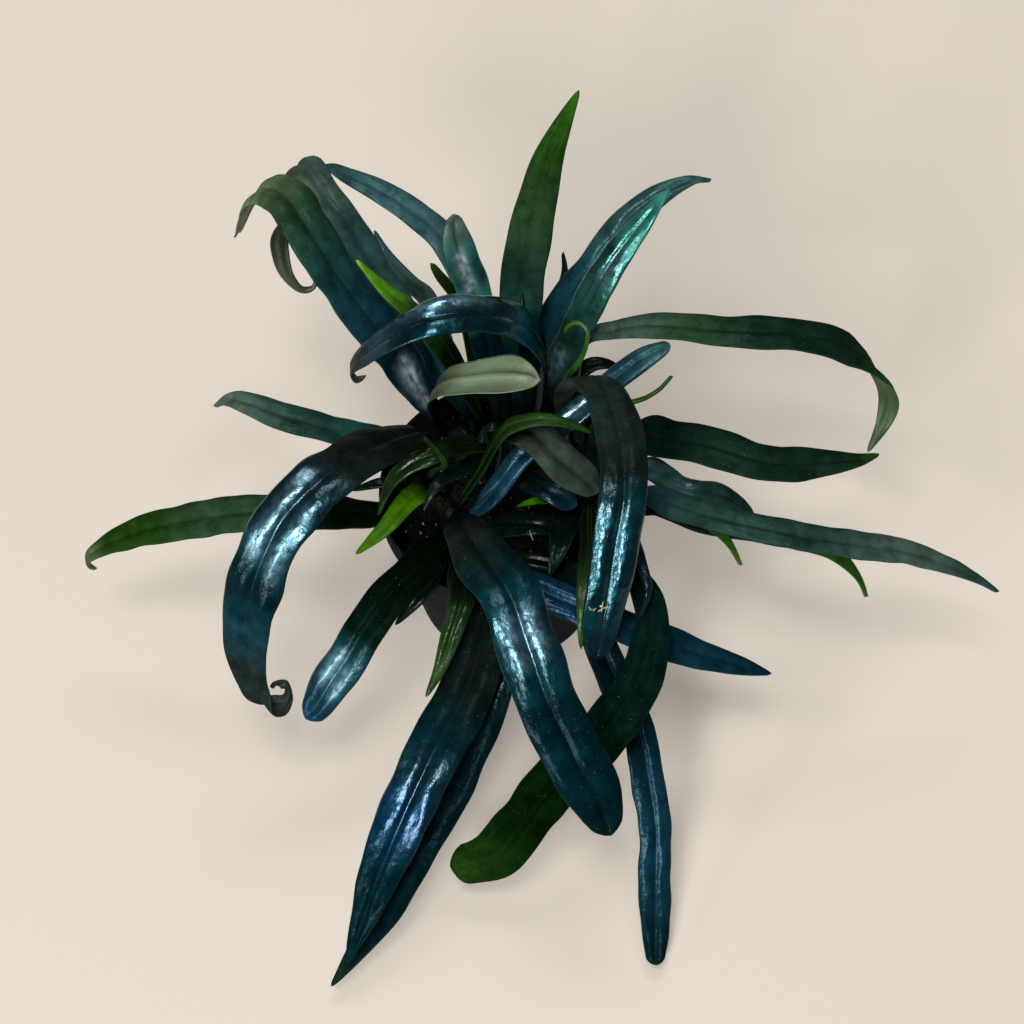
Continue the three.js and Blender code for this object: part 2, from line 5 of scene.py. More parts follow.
import bpy
import numpy as np
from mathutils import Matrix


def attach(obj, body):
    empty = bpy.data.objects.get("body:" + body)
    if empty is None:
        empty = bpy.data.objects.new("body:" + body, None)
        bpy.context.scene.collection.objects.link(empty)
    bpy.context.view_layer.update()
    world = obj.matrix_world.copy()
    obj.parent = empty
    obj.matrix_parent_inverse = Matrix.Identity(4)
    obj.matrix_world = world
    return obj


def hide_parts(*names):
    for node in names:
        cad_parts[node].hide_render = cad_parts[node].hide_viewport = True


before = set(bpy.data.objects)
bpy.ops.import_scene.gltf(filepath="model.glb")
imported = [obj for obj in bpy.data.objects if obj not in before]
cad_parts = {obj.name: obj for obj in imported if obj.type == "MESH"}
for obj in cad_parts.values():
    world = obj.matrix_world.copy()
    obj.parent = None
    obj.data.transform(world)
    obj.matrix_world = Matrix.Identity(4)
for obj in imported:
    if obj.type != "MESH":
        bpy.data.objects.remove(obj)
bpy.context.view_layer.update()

MM = 0.001
TAU = 2 * math.pi

# The pot and the soil, as in the part's source
POT_HEIGHT = 90
RIM_RADIUS = 60
RIM_BAND = 11
RIM_STEP = 2.2
BASE_RADIUS = 43
WALL = 1.4
FLOOR_THICKNESS = 2
DRAIN_COUNT = 8
DRAIN_RADIUS = 4
DRAIN_RING = 31
SOIL_LEVEL = 78
SOIL_LUMP = 1.3
RHIZOME_RADIUS = 4.6

# The fronds' sections, as in the part's source
STIPE_FOOT = 66
STIPE_TOP = 84
STIPE_LENGTH = 22
STIPE_HALF = 1.4
STIPE_THICK = 2.2
WAVE_LENGTH = 46
WAVE_HEIGHT = 0.055

# The finer form of a blade. ARCH and DROOP are shares of its half width, RAGGED of its reach.
ROW_STEP = 1.25
TIP_ROWS = 14
TIP_FADE = 6
NOTCH_REACH = 12
ARCH = 0.1
DROOP = 0.06
RAGGED = 0.028
PUCKER = 0.2
WRINKLE = 0.042
GROOVE, GROOVE_HALF = 0.6, 1.5
RIB, RIB_HALF = 0.75, 1.1
MARGIN_LIP = 0.3
THICK_INSIDE, THICK_MARGIN = 0.85, 0.5

# The pot's lathe and the soil's grid
POT_SECTORS = 144
SOIL_RINGS, SOIL_SECTORS = 62, 240
SOIL_TOP = 2.4
SCATTER_RADIUS = 54

# The stage, with its places in metres and the tilt in degrees
FLOOR_TONE = "#8f887f"
FLOOR_GLOW = 0.9
SKY_TONE, SKY_STRENGTH = (0.75, 0.85, 1.0, 1), 0.12
PLANT_MIDDLE = (0, 0, 0.1)
CAMERA_PLACE = (0.0023, -0.7589, 1.3839)
CAMERA_TILT = 30
CAMERA_LENS = 112.85

# How the width runs, as fractions of the length: full width, start of the tip's taper, bluntness
# of the taper, and the share of the width that is left at the very end
SHAPES = {
    "strap": (0.34, 0.62, 2.2, 0),
    "lance": (0.5, 0.5, 1.8, 0),
    "tall": (0.5, 0.58, 2.2, 0),
    "blunt": (0.34, 0.78, 3.4, 0.2),
    "round": (0.34, 0.8, 2.6, 0.45),
    "early": (0.27, 0.8, 3.4, 0.3),
    "broad_late": (0.42, 0.8, 3.4, 0.3),
    "late": (0.6, 0.8, 3.4, 0.25),
    "broad_end": (0.62, 0.72, 2, 0),
    "club": (0.66, 0.88, 3, 0.6),
    "spoon": (0.62, 0.8, 3.4, 0.3),
    "lens": (1.15, 0.86, 1.9, 0.05),
    "forked": (0.34, 0.66, 1.5, 0),
}

# name, width, shape, leaf colour, foot on the soil, route of the midrib above the soil, and where they
# aren't 0, the blade's turn about its midrib at each point and the depth of its forked tip
FRONDS = [
    # Behind the crown
    ("back_tall", 20.5, "tall", "deep", (4, 27),
     [(6, 43, 118), (6, 65, 152), (11, 78, 190), (20, 97, 225), (32, 116, 243)]),
    ("back_right_blue", 16, "strap", "blue", (9, 41),
     [(18, 65, 127), (38, 80, 156), (61, 100, 176), (84, 111, 182), (94, 114, 178)]),
    ("back_right_teal", 17, "strap", "teal", (18, 35),
     [(16, 40, 104), (22, 44, 122), (28, 46, 144), (45, 59, 186), (63, 72, 210), (73, 81, 218)]),
    ("back_right_tip", 6, "lance", "deep", (17, 43),
     [(25, 87, 120), (27, 90, 140), (26, 93, 150)]),
    ("back_grey_tip", 7, "lance", "deep", (11, 30),
     [(8, 43, 152), (7, 49, 168), (7, 55, 174)]),
    ("back_teal_short", 16.5, "blunt", "teal", (0, 39),
     [(-9, 59, 124), (-15, 70, 152), (-19, 72, 170), (-23, 78, 184), (-24, 85, 192)]),
    ("back_small", 5.5, "blunt", "green", (-13, 46),
     [(-21, 72, 134), (-26, 75, 146), (-31, 77, 154), (-35, 80, 160)]),
    ("back_left_strip", 14, "strap", "blue", (-5, 43),
     [(-15, 74, 114), (-20, 87, 136), (-30, 101, 150), (-41, 108, 158), (-59, 117, 166), (-75, 125, 168),
      (-83, 132, 164), (-88, 137, 156)]),
    ("back_left_grey", 17, "blunt", "blue", (-16, 38),
     [(-50, 65, 144), (-56, 71, 152), (-69, 88, 168), (-81, 101, 178), (-93, 120, 180), (-98, 128, 170),
      (-101, 132, 156)]),
    ("back_left_hidden", 10, "lance", "deep", (-21, 47),
     [(-37, 81, 128), (-44, 83, 138), (-56, 94, 148), (-62, 104, 152)]),
    ("back_left_loop", 15, "lance", "green", (-32, 42),
     [(-45, 58, 130), (-68, 80, 150), (-88, 99, 160), (-100, 104, 162), (-106, 101, 154), (-106, 97, 142),
      (-103, 93, 130), (-97, 91, 122), (-92, 92, 122), (-90, 94, 126)], [0, 0, 0, 0, 10, 30, 45, 45, 45, 45]),
    ("back_left_big", 23, "forked", "blue", (-28, 34),
     [(-37, 34, 112), (-48, 40, 140), (-68, 50, 174), (-80, 60, 191), (-90, 71, 203), (-98, 83, 207),
      (-107, 93, 201), (-115, 101, 186), (-121, 106, 164), (-127, 108, 142)], 0, 6),
    ("green_lance", 15, "lance", "leaf", (-8, 31),
     [(-14, 33, 112), (-21, 38, 130), (-31, 42, 154), (-45, 43, 180), (-54, 45, 190), (-67, 53, 202)]),
    ("back_arch", 20, "strap", "blue", (10, 22),
     [(16, 31, 130), (17, 30, 160), (11, 27, 184), (2, 25, 198), (-12, 21, 208), (-24, 18, 212),
      (-36, 15, 212), (-50, 14, 202), (-62, 15, 186), (-70, 18, 168), (-68, 18, 158), (-64, 21, 156)]),
    ("pale_folded", 26, "lens", "green", (-26, 24),
     [(-34, 22, 130), (-32, 19, 148), (-26, 17, 158), (-16, 15, 164), (-3, 14, 168), (8, 12, 170),
      (15, 11, 168)], 180),
    ("curled_young", 4.5, "strap", "leaf", (23, 40),
     [(25, 32, 122), (27, 29, 141), (33, 28, 158), (36, 30, 170), (36, 33, 176), (32, 36, 177), (28, 36, 175),
      (26, 35, 171)], 60),
    # To the right
    ("right_loop", 18, "broad_end", "deep", (32, 32),
     [(37, 52, 140), (49, 49, 152), (61, 46, 160), (81, 40, 168), (98, 36, 171), (116, 35, 171),
      (132, 36, 168), (145, 37, 162), (157, 38, 152), (167, 38, 140), (175, 38, 124), (179, 37, 108),
      (177, 32, 98), (170, 22, 88)], [0, 0, 0, 0, 0, 0, 0, 0, 0, -20, -50, -60, -60, -60]),
    ("right_dark_arch", 10, "lance", "deep", (29, 39),
     [(30, 48, 103), (33, 51, 111), (41, 55, 114), (51, 55, 111), (57, 51, 104)]),
    ("right_inner_arch", 12, "lance", "deep", (36, 24),
     [(30, 34, 102), (30, 35, 112), (35, 37, 116), (42, 38, 114)]),
    ("right_thread", 3, "lance", "leaf", (40, 15),
     [(49, 21, 120), (55, 22, 130), (64, 21, 138), (70, 22, 144), (75, 25, 150)]),
    ("right_upright_dark", 8, "lance", "deep", (36, 8),
     [(39, 3, 104), (39, 8, 122), (38, 12, 128)]),
    ("right_dark", 20, "strap", "deep", (42, 8),
     [(62, 19, 108), (73, 11, 118), (88, 4, 126), (102, -2, 128), (115, -6, 127), (127, -6, 124),
      (137, -3, 120), (151, 0, 116), (163, 3, 113), (172, 6, 112)]),
    ("right_behind", 12, "blunt", "deep", (47, 1),
     [(65, 4, 104), (78, -9, 110), (89, -12, 110), (99, -11, 104), (108, -13, 98), (114, -14, 92)]),
    ("right_long", 14.5, "strap", "teal", (43, -8),
     [(64, -17, 115), (74, -28, 126), (86, -36, 132), (104, -44, 136), (127, -49, 135), (154, -50, 128),
      (178, -48, 118), (200, -47, 104), (215, -49, 94), (226, -52, 86)]),
    ("right_under_a", 10, "lance", "deep", (38, -18),
     [(66, -20, 110), (84, -27, 115), (94, -30, 110), (102, -34, 100), (108, -39, 88)]),
    ("right_under_b", 12, "strap", "deep", (40, -23),
     [(64, -12, 98), (89, -21, 98), (117, -27, 98), (135, -30, 97), (149, -33, 92), (158, -37, 85),
      (164, -42, 78), (167, -47, 72)]),
    ("right_narrow_blue", 7, "lance", "blue", (38, -10),
     [(54, -36, 115), (60, -60, 128), (63, -73, 126), (60, -81, 116)]),
    # In front
    ("front_arch_right", 21, "late", "blue", (29, 20),
     [(25, 27, 122), (29, 21, 148), (36, 14, 166), (43, 0, 178), (48, -18, 182), (51, -36, 178),
      (51, -52, 170), (48, -65, 158), (45, -80, 143), (42, -92, 128), (40, -101, 114)]),
    ("front_edge_green", 9, "lance", "leaf", (38, -4),
     [(38, -16, 104), (37, -50, 124), (34, -74, 129), (33, -88, 126), (33, -97, 116)]),
    ("front_right_bow", 24, "club", "deep", (32, -15),
     [(50, -37, 104), (57, -53, 112), (62, -66, 114), (65, -78, 112), (64, -91, 108), (60, -104, 103),
      (53, -115, 97), (44, -125, 88), (34, -133, 80), (24, -139, 70), (15, -145, 60), (5, -153, 46),
      (-5, -160, 34), (-16, -162, 28), (-26, -162, 25)]),
    ("front_right_blue", 17, "strap", "blue", (0, -43),
     [(2, -54, 103), (10, -60, 108), (33, -72, 108), (60, -79, 98), (88, -82, 82), (107, -82, 71),
      (122, -80, 58)]),
    ("front_blue", 15.5, "round", "blue", (16, -22),
     [(23, -39, 96), (29, -53, 100), (36, -63, 99), (42, -80, 92), (51, -98, 78), (60, -113, 66),
      (65, -133, 50), (68, -150, 38), (68, -169, 24), (68, -187, 14), (68, -204, 8)]),
    ("front_big", 28, "broad_late", "teal", (-24, -9),
     [(-22, -28, 112), (-18, -42, 124), (-10, -58, 130), (1, -77, 131), (9, -100, 126), (17, -122, 118),
      (25, -137, 110), (32, -149, 102), (39, -157, 94), (43, -164, 86), (46, -171, 79)]),
    ("front_left_long", 25, "strap", "blue", (-11, -26),
     [(-9, -54, 106), (-8, -71, 108), (-12, -89, 104), (-18, -108, 98), (-32, -132, 86), (-41, -147, 75),
      (-50, -163, 62), (-59, -179, 46), (-65, -192, 34), (-70, -203, 26), (-72, -210, 22)]),
    ("front_left_under", 21, "strap", "blue", (-8, -43),
     [(-3, -59, 99), (-2, -81, 94), (-8, -100, 82), (-14, -115, 72), (-22, -129, 60), (-30, -142, 50),
      (-41, -158, 38), (-49, -171, 30), (-58, -186, 22), (-68, -199, 15), (-74, -207, 12), (-80, -215, 10)]),
    ("front_small_green", 13, "lance", "green", (-25, -31),
     [(-20, -74, 121), (-24, -89, 120), (-30, -105, 111), (-36, -115, 104)]),
    ("front_sprout", 5, "lance", "young", (-20, -41),
     [(-23, -42, 90), (-26, -40, 92)]),
    # To the left
    ("left_front", 19.5, "round", "deep", (-31, -18),
     [(-33, -38, 102), (-43, -55, 110), (-55, -68, 108), (-65, -79, 98), (-73, -88, 88), (-80, -94, 78),
      (-87, -101, 68), (-92, -105, 62)]),
    ("left_front_under", 10, "lance", "deep", (-31, -28),
     [(-33, -45, 96), (-40, -59, 96), (-51, -68, 84)]),
    ("left_lower", 19, "strap", "deep", (-43, 4),
     [(-56, -16, 98), (-86, -24, 112), (-117, -27, 116), (-150, -26, 106), (-174, -26, 94), (-189, -27, 84),
      (-195.7, -29, 77), (-195.7, -29, 70), (-193, -29, 66)]),
    ("left_shaded", 8, "lance", "deep", (-48, 11),
     [(-45, -2, 94), (-56, -4, 104), (-72, -6, 100)]),
    ("left_arch", 27, "strap", "blue", (-36, 27),
     [(-37, 20, 102), (-39, 18, 112), (-44, 8, 128), (-55, -8, 147), (-65, -22, 160), (-83, -42, 168),
      (-98, -57, 162), (-109, -71, 145), (-114, -80, 133), (-117, -87, 118), (-118, -94, 104),
      (-115, -103, 90), (-110, -108, 82), (-103, -106, 77), (-100, -102, 76), (-100, -97, 77),
      (-103, -95, 78), (-106, -96, 79), (-107, -98, 79)], [0, 0, 0, 0, 0, 0, 0, 0, 0, 0, 0, 0, 0, 30, 60, 75,
      80, 80, 80]),
    ("left_upper", 15, "strap", "teal", (-42, 22),
     [(-57, 17, 106), (-81, 13, 124), (-102, 16, 130), (-121, 25, 128), (-130, 30, 122), (-136, 31, 114)]),
    ("left_yellow_leaf", 12.5, "lance", "young", (-30, -1),
     [(-36, -7, 104), (-45, -19, 114), (-56, -33, 112), (-69, -41, 102)]),
    ("left_dark_leaf", 12.5, "lance", "green", (-8, 20),
     [(-10, 13, 108), (-18, 8, 119), (-27, 2, 125), (-35, -3, 127), (-45, -7, 124), (-52, -11, 119),
      (-56, -16, 112), (-59, -22, 105)]),
    ("left_teal_leaf", 10, "lance", "deep", (-11, 12),
     [(-10, 12, 102), (-17, 2, 110), (-23, -5, 116), (-29, -11, 119), (-33, -16, 119), (-38, -26, 115)]),
    ("left_sprout", 4.5, "lance", "young", (-37, 6),
     [(-34, -3, 112), (-28, -11, 132), (-32, -11, 146), (-37, -13, 158)]),
    # In the crown
    ("inner_blue", 12.5, "early", "blue", (-17, -14),
     [(-17, -15, 90), (-8, -10, 102), (9, 1, 124), (36, 14, 144), (60, 29, 157), (74, 35, 161)]),
    ("inner_green_arch", 12, "lance", "leaf", (-19, 2),
     [(-21, -12, 104), (-13, -11, 126), (-4, -4, 144), (2, -3, 153), (17, -3, 158), (31, -4, 154),
      (38, -4, 148)]),
    ("inner_grey_leaf", 18.5, "spoon", "deep", (2, 21),
     [(3, 18, 112), (8, 5, 135), (15, -7, 147), (22, -16, 148), (31, -22, 143), (41, -25, 131)]),
    ("inner_dark_leaf", 12, "spoon", "blue", (6, 5),
     [(8, -2, 104), (16, -11, 112), (24, -16, 112), (32, -18, 107)]),
    ("small_arch_a", 8, "lance", "deep", (-18, 29),
     [(-14, 25, 94), (-20, 24, 104), (-27, 25, 100)]),
    ("small_arch_b", 8, "lance", "deep", (-5, 10),
     [(-3, 13, 124), (-7, 12, 127), (-11, 12, 123), (-12, 10, 116)]),
    ("centre_low_dark", 17, "lance", "deep", (-9, -14),
     [(-3, -19, 92), (6, -23, 99), (18, -25, 100), (25, -25, 94)]),
    ("centre_down_leaf", 14, "lance", "deep", (26, -5),
     [(27, -22, 102), (25, -37, 112), (23, -47, 114), (19, -55, 106)]),
    ("centre_pale_leaf", 10, "strap", "green", (-2, -30),
     [(5, -34, 87), (20, -37, 87), (34, -38, 85)]),
    ("centre_bright_leaf", 6, "lance", "young", (24, 3),
     [(20, -5, 90), (13, -8, 94), (5, -9, 90)]),
]

# The rhizome's branches, each a route along the soil
RHIZOMES = [
    [(-46, 14), (-34, 2), (-18, -14), (0, -22), (20, -18), (34, -10), (47, 2)],
    [(-34, 2), (-22, 22), (-12, 34), (4, 36), (18, 36), (30, 26)],
    [(0, -22), (6, -4), (10, 12), (24, 14), (36, 16)],
]

# Skin colours of the plant, as sRGB; the last two are the colours of painted highlights
SKIN = {
    "stem": "#0e1207", "ink": "#04171b", "umber": "#0b1310", "soot": "#131b16", "ash": "#1a2523",
    "slate": "#0f3039", "blue": "#06304a", "navy": "#0c2f44", "azure": "#193948", "marine": "#092934",
    "gleam": "#053841", "teal": "#04303a", "abyss": "#021b20", "sea": "#12302b", "mint": "#286158",
    "bloom": "#294745", "haze": "#2f4c4f", "deep": "#041510", "dusk": "#0f2117", "olive": "#203521",
    "moss": "#162f0a", "fir": "#041403", "leaf": "#21480e", "young": "#3c6c04", "sap": "#355e03",
    "lime": "#4d7b14", "pitch": "#020a02", "drab": "#29342b", "jade": "#1c332d", "pale": "#56694a",
    "grey": "#3f5047", "highlight_blue": "#9cccdf", "highlight_white": "#d2ebf7",
}

# How the skin's colour runs along a leaf of each colour: colours at shares of its length
# the gleam stretches, and back_teal_short's mint stretch, are lighter where highlights fall, partly painted
# highlight; the stem colour at the crown is near black, partly painted shade
RUNS = {
    "blue": "0 stem, 0.2 umber, 0.5 blue, 0.85 teal, 1 abyss",
    "teal": "0 stem, 0.2 umber, 0.4 teal, 0.8 teal, 1 abyss",
    "deep": "0 stem, 0.2 fir, 0.5 deep, 0.85 deep, 1 dusk",
    "green": "0 stem, 0.3 fir, 0.7 fir, 1 moss",
    "leaf": "0 fir, 0.4 fir, 0.75 leaf, 1 leaf",
    "young": "0 fir, 0.45 fir, 0.6 young, 1 young",
    # leaves whose colour runs otherwise
    "back_tall": "0 stem, 0.3 abyss, 0.45 sea, 0.65 olive, 0.85 moss, 1 leaf",
    "back_right_blue": "0 stem, 0.3 slate, 0.55 slate, 0.75 bloom, 1 bloom",
    "back_right_teal": "0 stem, 0.3 olive, 0.5 sea, 0.68 mint, 1 mint",
    "back_teal_short": "0 stem, 0.5 abyss, 0.62 mint, 0.85 mint, 0.95 grey, 1 grey",
    "back_arch": "0 stem, 0.4 ink, 0.52 gleam, 0.72 gleam, 0.8 slate, 0.9 ash, 1 grey",
    "back_left_strip": "0 stem, 0.45 haze, 0.75 haze, 1 bloom",
    "back_left_grey": "0 stem, 0.3 slate, 0.5 bloom, 0.65 bloom, 0.8 grey, 1 grey",
    "back_left_hidden": "0 stem, 0.5 grey, 1 bloom",
    "back_left_big": "0 stem, 0.2 slate, 0.33 abyss, 0.42 slate, 0.56 sea, 0.68 olive, 0.8 pale, 0.95 pale, "
                     "1 young",
    "green_lance": "0 fir, 0.55 fir, 0.75 leaf, 0.9 young, 1 lime",
    "right_loop": "0 stem, 0.3 grey, 0.45 olive, 0.56 dusk, 0.75 dusk, 0.83 leaf, 1 leaf",
    "right_dark": "0 stem, 0.3 deep, 0.6 dusk, 0.88 dusk, 1 moss",
    "right_behind": "0 stem, 0.4 bloom, 0.65 bloom, 1 dusk",
    "right_long": "0 stem, 0.2 slate, 0.35 jade, 0.6 jade, 0.8 grey, 1 jade",
    "right_narrow_blue": "0 stem, 0.4 abyss, 1 abyss",
    "right_under_a": "0 stem, 0.6 fir, 0.8 leaf, 1 young",
    "right_under_b": "0 stem, 0.6 fir, 0.78 leaf, 1 leaf",
    "front_big": "0 stem, 0.2 umber, 0.33 soot, 0.45 ink, 0.52 gleam, 0.62 gleam, 0.72 abyss, 0.85 abyss, "
                 "1 ink",
    "front_left_long": "0 stem, 0.3 umber, 0.44 umber, 0.55 abyss, 0.62 slate, 0.68 blue, 0.82 abyss, "
                       "1 abyss",
    "front_left_under": "0 stem, 0.35 abyss, 0.45 ink, 0.9 ink, 1 dusk",
    "front_arch_right": "0 stem, 0.3 ash, 0.5 ash, 0.66 umber, 0.75 gleam, 0.88 gleam, 0.96 abyss, 1 abyss",
    "front_right_bow": "0 stem, 0.2 deep, 0.55 deep, 0.7 fir, 0.85 fir, 1 moss",
    "front_blue": "0 stem, 0.3 ink, 0.48 abyss, 0.6 marine, 0.85 marine, 1 ink",
    "front_right_blue": "0 stem, 0.2 abyss, 0.35 navy, 0.45 navy, 0.6 marine, 1 marine",
    "left_front": "0 stem, 0.3 pitch, 0.5 pitch, 0.68 deep, 0.77 gleam, 0.88 gleam, 0.95 marine, 1 blue",
    "left_lower": "0 stem, 0.35 fir, 0.45 olive, 0.65 olive, 0.75 moss, 0.88 moss, 1 pale",
    "left_upper": "0 stem, 0.3 sea, 0.42 mint, 0.56 jade, 0.68 jade, 0.85 grey, 1 grey",
    "left_arch": "0 stem, 0.2 umber, 0.36 soot, 0.44 soot, 0.5 slate, 0.55 gleam, 0.6 gleam, 0.66 abyss, "
                 "0.7 abyss, 0.76 slate, 0.84 ash, 1 ash",
    "left_dark_leaf": "0 fir, 0.55 fir, 0.8 moss, 1 moss",
    "inner_grey_leaf": "0 stem, 0.5 fir, 0.68 drab, 1 drab",
    "inner_blue": "0 stem, 0.2 slate, 0.3 azure, 0.5 azure, 0.6 slate, 0.8 azure, 1 bloom",
    "inner_dark_leaf": "0 stem, 0.6 ink, 1 slate",
    "inner_green_arch": "0 fir, 0.6 fir, 0.75 moss, 1 moss",
    "left_yellow_leaf": "0 fir, 0.45 fir, 0.6 sap, 1 sap",
    "left_sprout": "0 fir, 0.5 moss, 1 moss",
    "front_small_green": "0 fir, 0.6 fir, 0.8 moss, 1 moss",
    "pale_folded": "0 fir, 0.6 fir, 0.75 pale, 1 pale",
    "front_edge_green": "0 fir, 0.65 fir, 0.85 moss, 1 leaf",
}

# How the gloss runs along a leaf: the wax shines in stretches, and is dull and dusty near the crown
GLOSS = {
    "blue": [(0, 0), (0.4, 0.02), (0.6, 0.6), (0.85, 0.6), (1, 0.2)],
    "teal": [(0, 0), (0.4, 0.02), (0.6, 0.6), (0.85, 0.6), (1, 0.2)],
    "deep": [(0, 0), (0.5, 0.05), (0.75, 0.5), (1, 0.4)],
    "green": [(0, 0), (0.5, 0.2), (0.85, 0.9), (1, 0.9)],
    "leaf": [(0, 0.1), (0.5, 0.4), (0.7, 0.9), (1, 0.7)],
    "young": [(0, 0.1), (0.5, 0.2), (1, 0.3)],
    "front_big": [(0, 0), (0.46, 0.02), (0.53, 1), (0.61, 0.9), (0.67, 0.5), (0.73, 0.08), (1, 0.02)],
    "front_left_long": [(0, 0), (0.55, 0.02), (0.62, 0.8), (0.69, 0.8), (0.75, 0.3), (0.81, 0.05), (1, 0.05)],
    "front_left_under": [(0, 0.05), (0.28, 1), (0.35, 1), (0.41, 0.03), (1, 0)],
    "left_arch": [(0, 0), (0.44, 0.02), (0.5, 1), (0.58, 1), (0.64, 0.25), (0.74, 0.05), (0.8, 0), (1, 0)],
    "front_arch_right": [(0, 0.02), (0.66, 0.02), (0.73, 0.9), (0.78, 1), (0.89, 1), (0.94, 0.3), (1, 0.1)],
    "front_right_bow": [(0, 0.01)],
    "front_blue": [(0, 0), (0.5, 0.1), (0.6, 0.15), (0.85, 0.15), (1, 0.05)],
    "front_right_blue": [(0, 0.1), (0.25, 0.3), (0.42, 0.3), (0.55, 0.02), (1, 0.02)],
    "left_front": [(0, 0), (0.68, 0.02), (0.76, 0.9), (0.86, 1), (0.93, 0.4), (1, 0.1)],
    "left_lower": [(0, 0.03)],
    "right_dark": [(0, 0.03)],
    "back_arch": [(0, 0), (0.5, 0.05), (0.56, 1), (0.76, 1), (0.82, 0.2), (1, 0.02)],
    "back_right_teal": [(0, 0.1), (0.3, 0.5), (0.5, 0.2), (0.62, 0.6), (0.7, 1), (0.78, 1), (0.86, 0.5),
                        (1, 0.3)],
    "back_teal_short": [(0, 0), (0.6, 0.1), (0.7, 0.3), (0.87, 0.3), (0.93, 0.05), (1, 0.02)],
    "back_right_blue": [(0, 0), (0.6, 0.03), (0.7, 0.3), (0.8, 0.3), (1, 0.05)],
    "back_left_big": [(0, 0.1), (0.2, 0.25), (0.28, 0.25), (0.34, 0.03), (1, 0)],
    "inner_blue": [(0, 0.05), (0.3, 0.1), (0.6, 0.8), (0.76, 0.6), (0.84, 0.2), (1, 0.05)],
    "inner_green_arch": [(0, 0.05), (0.6, 0.1), (0.75, 0.3), (1, 0.1)],
    # dull from end to end
    **dict.fromkeys(("left_upper", "right_long", "right_loop", "back_tall", "back_left_strip",
                     "back_left_grey", "inner_grey_leaf"), [(0, 0.02)]),
}

# Painted highlights, pale patches painted into the skin colour where the leaves' highlights fall: from and to
# along the leaf, middle and spread across it, strength and colour
PAINTED_HIGHLIGHTS = {
    "back_arch": [(0.56, 0.78, -0.6, 0.3, 0.8, "highlight_blue")],
    "back_teal_short": [(0.66, 0.9, 0.15, 0.3, 1, "highlight_white")],
    "back_left_big": [(0.13, 0.33, 0.15, 0.35, 1, "highlight_white")],
    "back_right_teal": [(0.27, 0.46, 0.1, 0.4, 0.5, "highlight_blue"), (0.66, 0.82, -0.2, 0.4, 0.35, "highlight_blue")],
    "inner_blue": [(0.58, 0.82, 0.0, 0.6, 0.35, "highlight_blue")],
    "left_arch": [(0.46, 0.66, -0.35, 0.3, 0.35, "highlight_blue"), (0.5, 0.68, 0.5, 0.25, 0.3, "highlight_blue")],
    "left_front": [(0.72, 0.9, -0.35, 0.3, 0.45, "highlight_blue"), (0.76, 0.92, 0.4, 0.25, 0.35, "highlight_blue")],
    "front_big": [(0.5, 0.64, 0.3, 0.35, 0.4, "highlight_blue"), (0.5, 0.66, -0.35, 0.3, 0.3, "highlight_blue")],
}

# How pale a leaf's underside is along its length: most are kept dark as painted shade, and one is folded
# over and pale, with painted shade darkening it towards the crown
PALE_BELOW = {
    "pale_folded": [(0.55, 0.1), (0.68, 0.2), (0.78, 0.42), (0.9, 0.52), (1, 0.52)],
    "right_loop": [(0.8, 0.08), (1, 0.1)],
    "back_left_big": [(0.7, 0.12), (0.9, 0.2)],
}

# Each leaf skin's name, how metallic its thin films look, roughness of the flesh, weight and
# roughness of the wax, and how much the midrib's pale shoulder shows
LEAF_SKINS = {
    "blue": ("blue_leaf_skin", 0.9, 0.28, 0.55, 0.2, 0.006),
    "teal": ("teal_leaf_skin", 0.9, 0.28, 0.55, 0.2, 0.006),
    "deep": ("dark_leaf_skin", 0.4, 0.32, 0.5, 0.24, 0.005),
    "green": ("green_leaf_skin", 0.1, 0.35, 0.6, 0.24, 0.01),
    "leaf": ("fresh_leaf_skin", 0.0, 0.4, 0.45, 0.25, 0.05),
    "young": ("young_leaf_skin", 0.0, 0.45, 0.35, 0.3, 0.05),
}


def linear(code):
    """The linear colour of an sRGB hex value"""
    parts = [int(code[i:i + 2], 16) / 255 for i in (1, 3, 5)]
    return [p / 12.92 if p <= 0.04045 else ((p + 0.055) / 1.055) ** 2.4 for p in parts] + [1]


def clamp(x):
    return np.clip(x, 0, 1)


def smooth(x):
    return clamp(x) * clamp(x) * (3 - 2 * clamp(x))


def mix(a, b, t):
    return a + (b - a) * t


# Routes and meshes


class Route:
    """A centripetal Catmull-Rom curve through points, walked by distance, as in the part's source"""

    def __init__(self, points):
        self.points = p = np.array(points, float)
        p = np.vstack([2 * p[0] - p[1], p, 2 * p[-1] - p[-2]])
        spans = len(points) - 1
        share = np.linspace(0, 1, 161)[:, None]
        parts = []
        for i in range(spans):
            p0, p1, p2, p3 = p[i:i + 4]
            d0, d1, d2 = (max(1e-4, np.sum((b - a) ** 2)) ** 0.25 for a, b in ((p0, p1), (p1, p2), (p2, p3)))
            t1 = ((p1 - p0) / d0 - (p2 - p0) / (d0 + d1) + (p2 - p1) / d1) * d1
            t2 = ((p2 - p1) / d1 - (p3 - p1) / (d1 + d2) + (p3 - p2) / d2) * d1
            part = p1 + t1 * share + (3 * (p2 - p1) - 2 * t1 - t2) * share ** 2 \
                + (2 * (p1 - p2) + t1 + t2) * share ** 3
            parts.append(part if i == spans - 1 else part[:-1])
        self.line = np.vstack(parts)
        self.walked = walked_along(self.line)
        self.length = self.walked[-1]

    def at(self, distance):
        return np.stack([np.interp(distance, self.walked, self.line[:, k]) for k in range(3)], -1)

    def heading(self, distance, reach=0.4):
        step = self.at(np.minimum(distance + reach, self.length)) - self.at(np.maximum(distance - reach, 0))
        return unit(step)


def walked_along(points):
    """How far each point lies along the line through them"""
    return np.concatenate([[0], np.cumsum(np.linalg.norm(np.diff(points, axis=0), axis=1))])


def unit(v):
    return v / np.linalg.norm(v, axis=-1, keepdims=True)


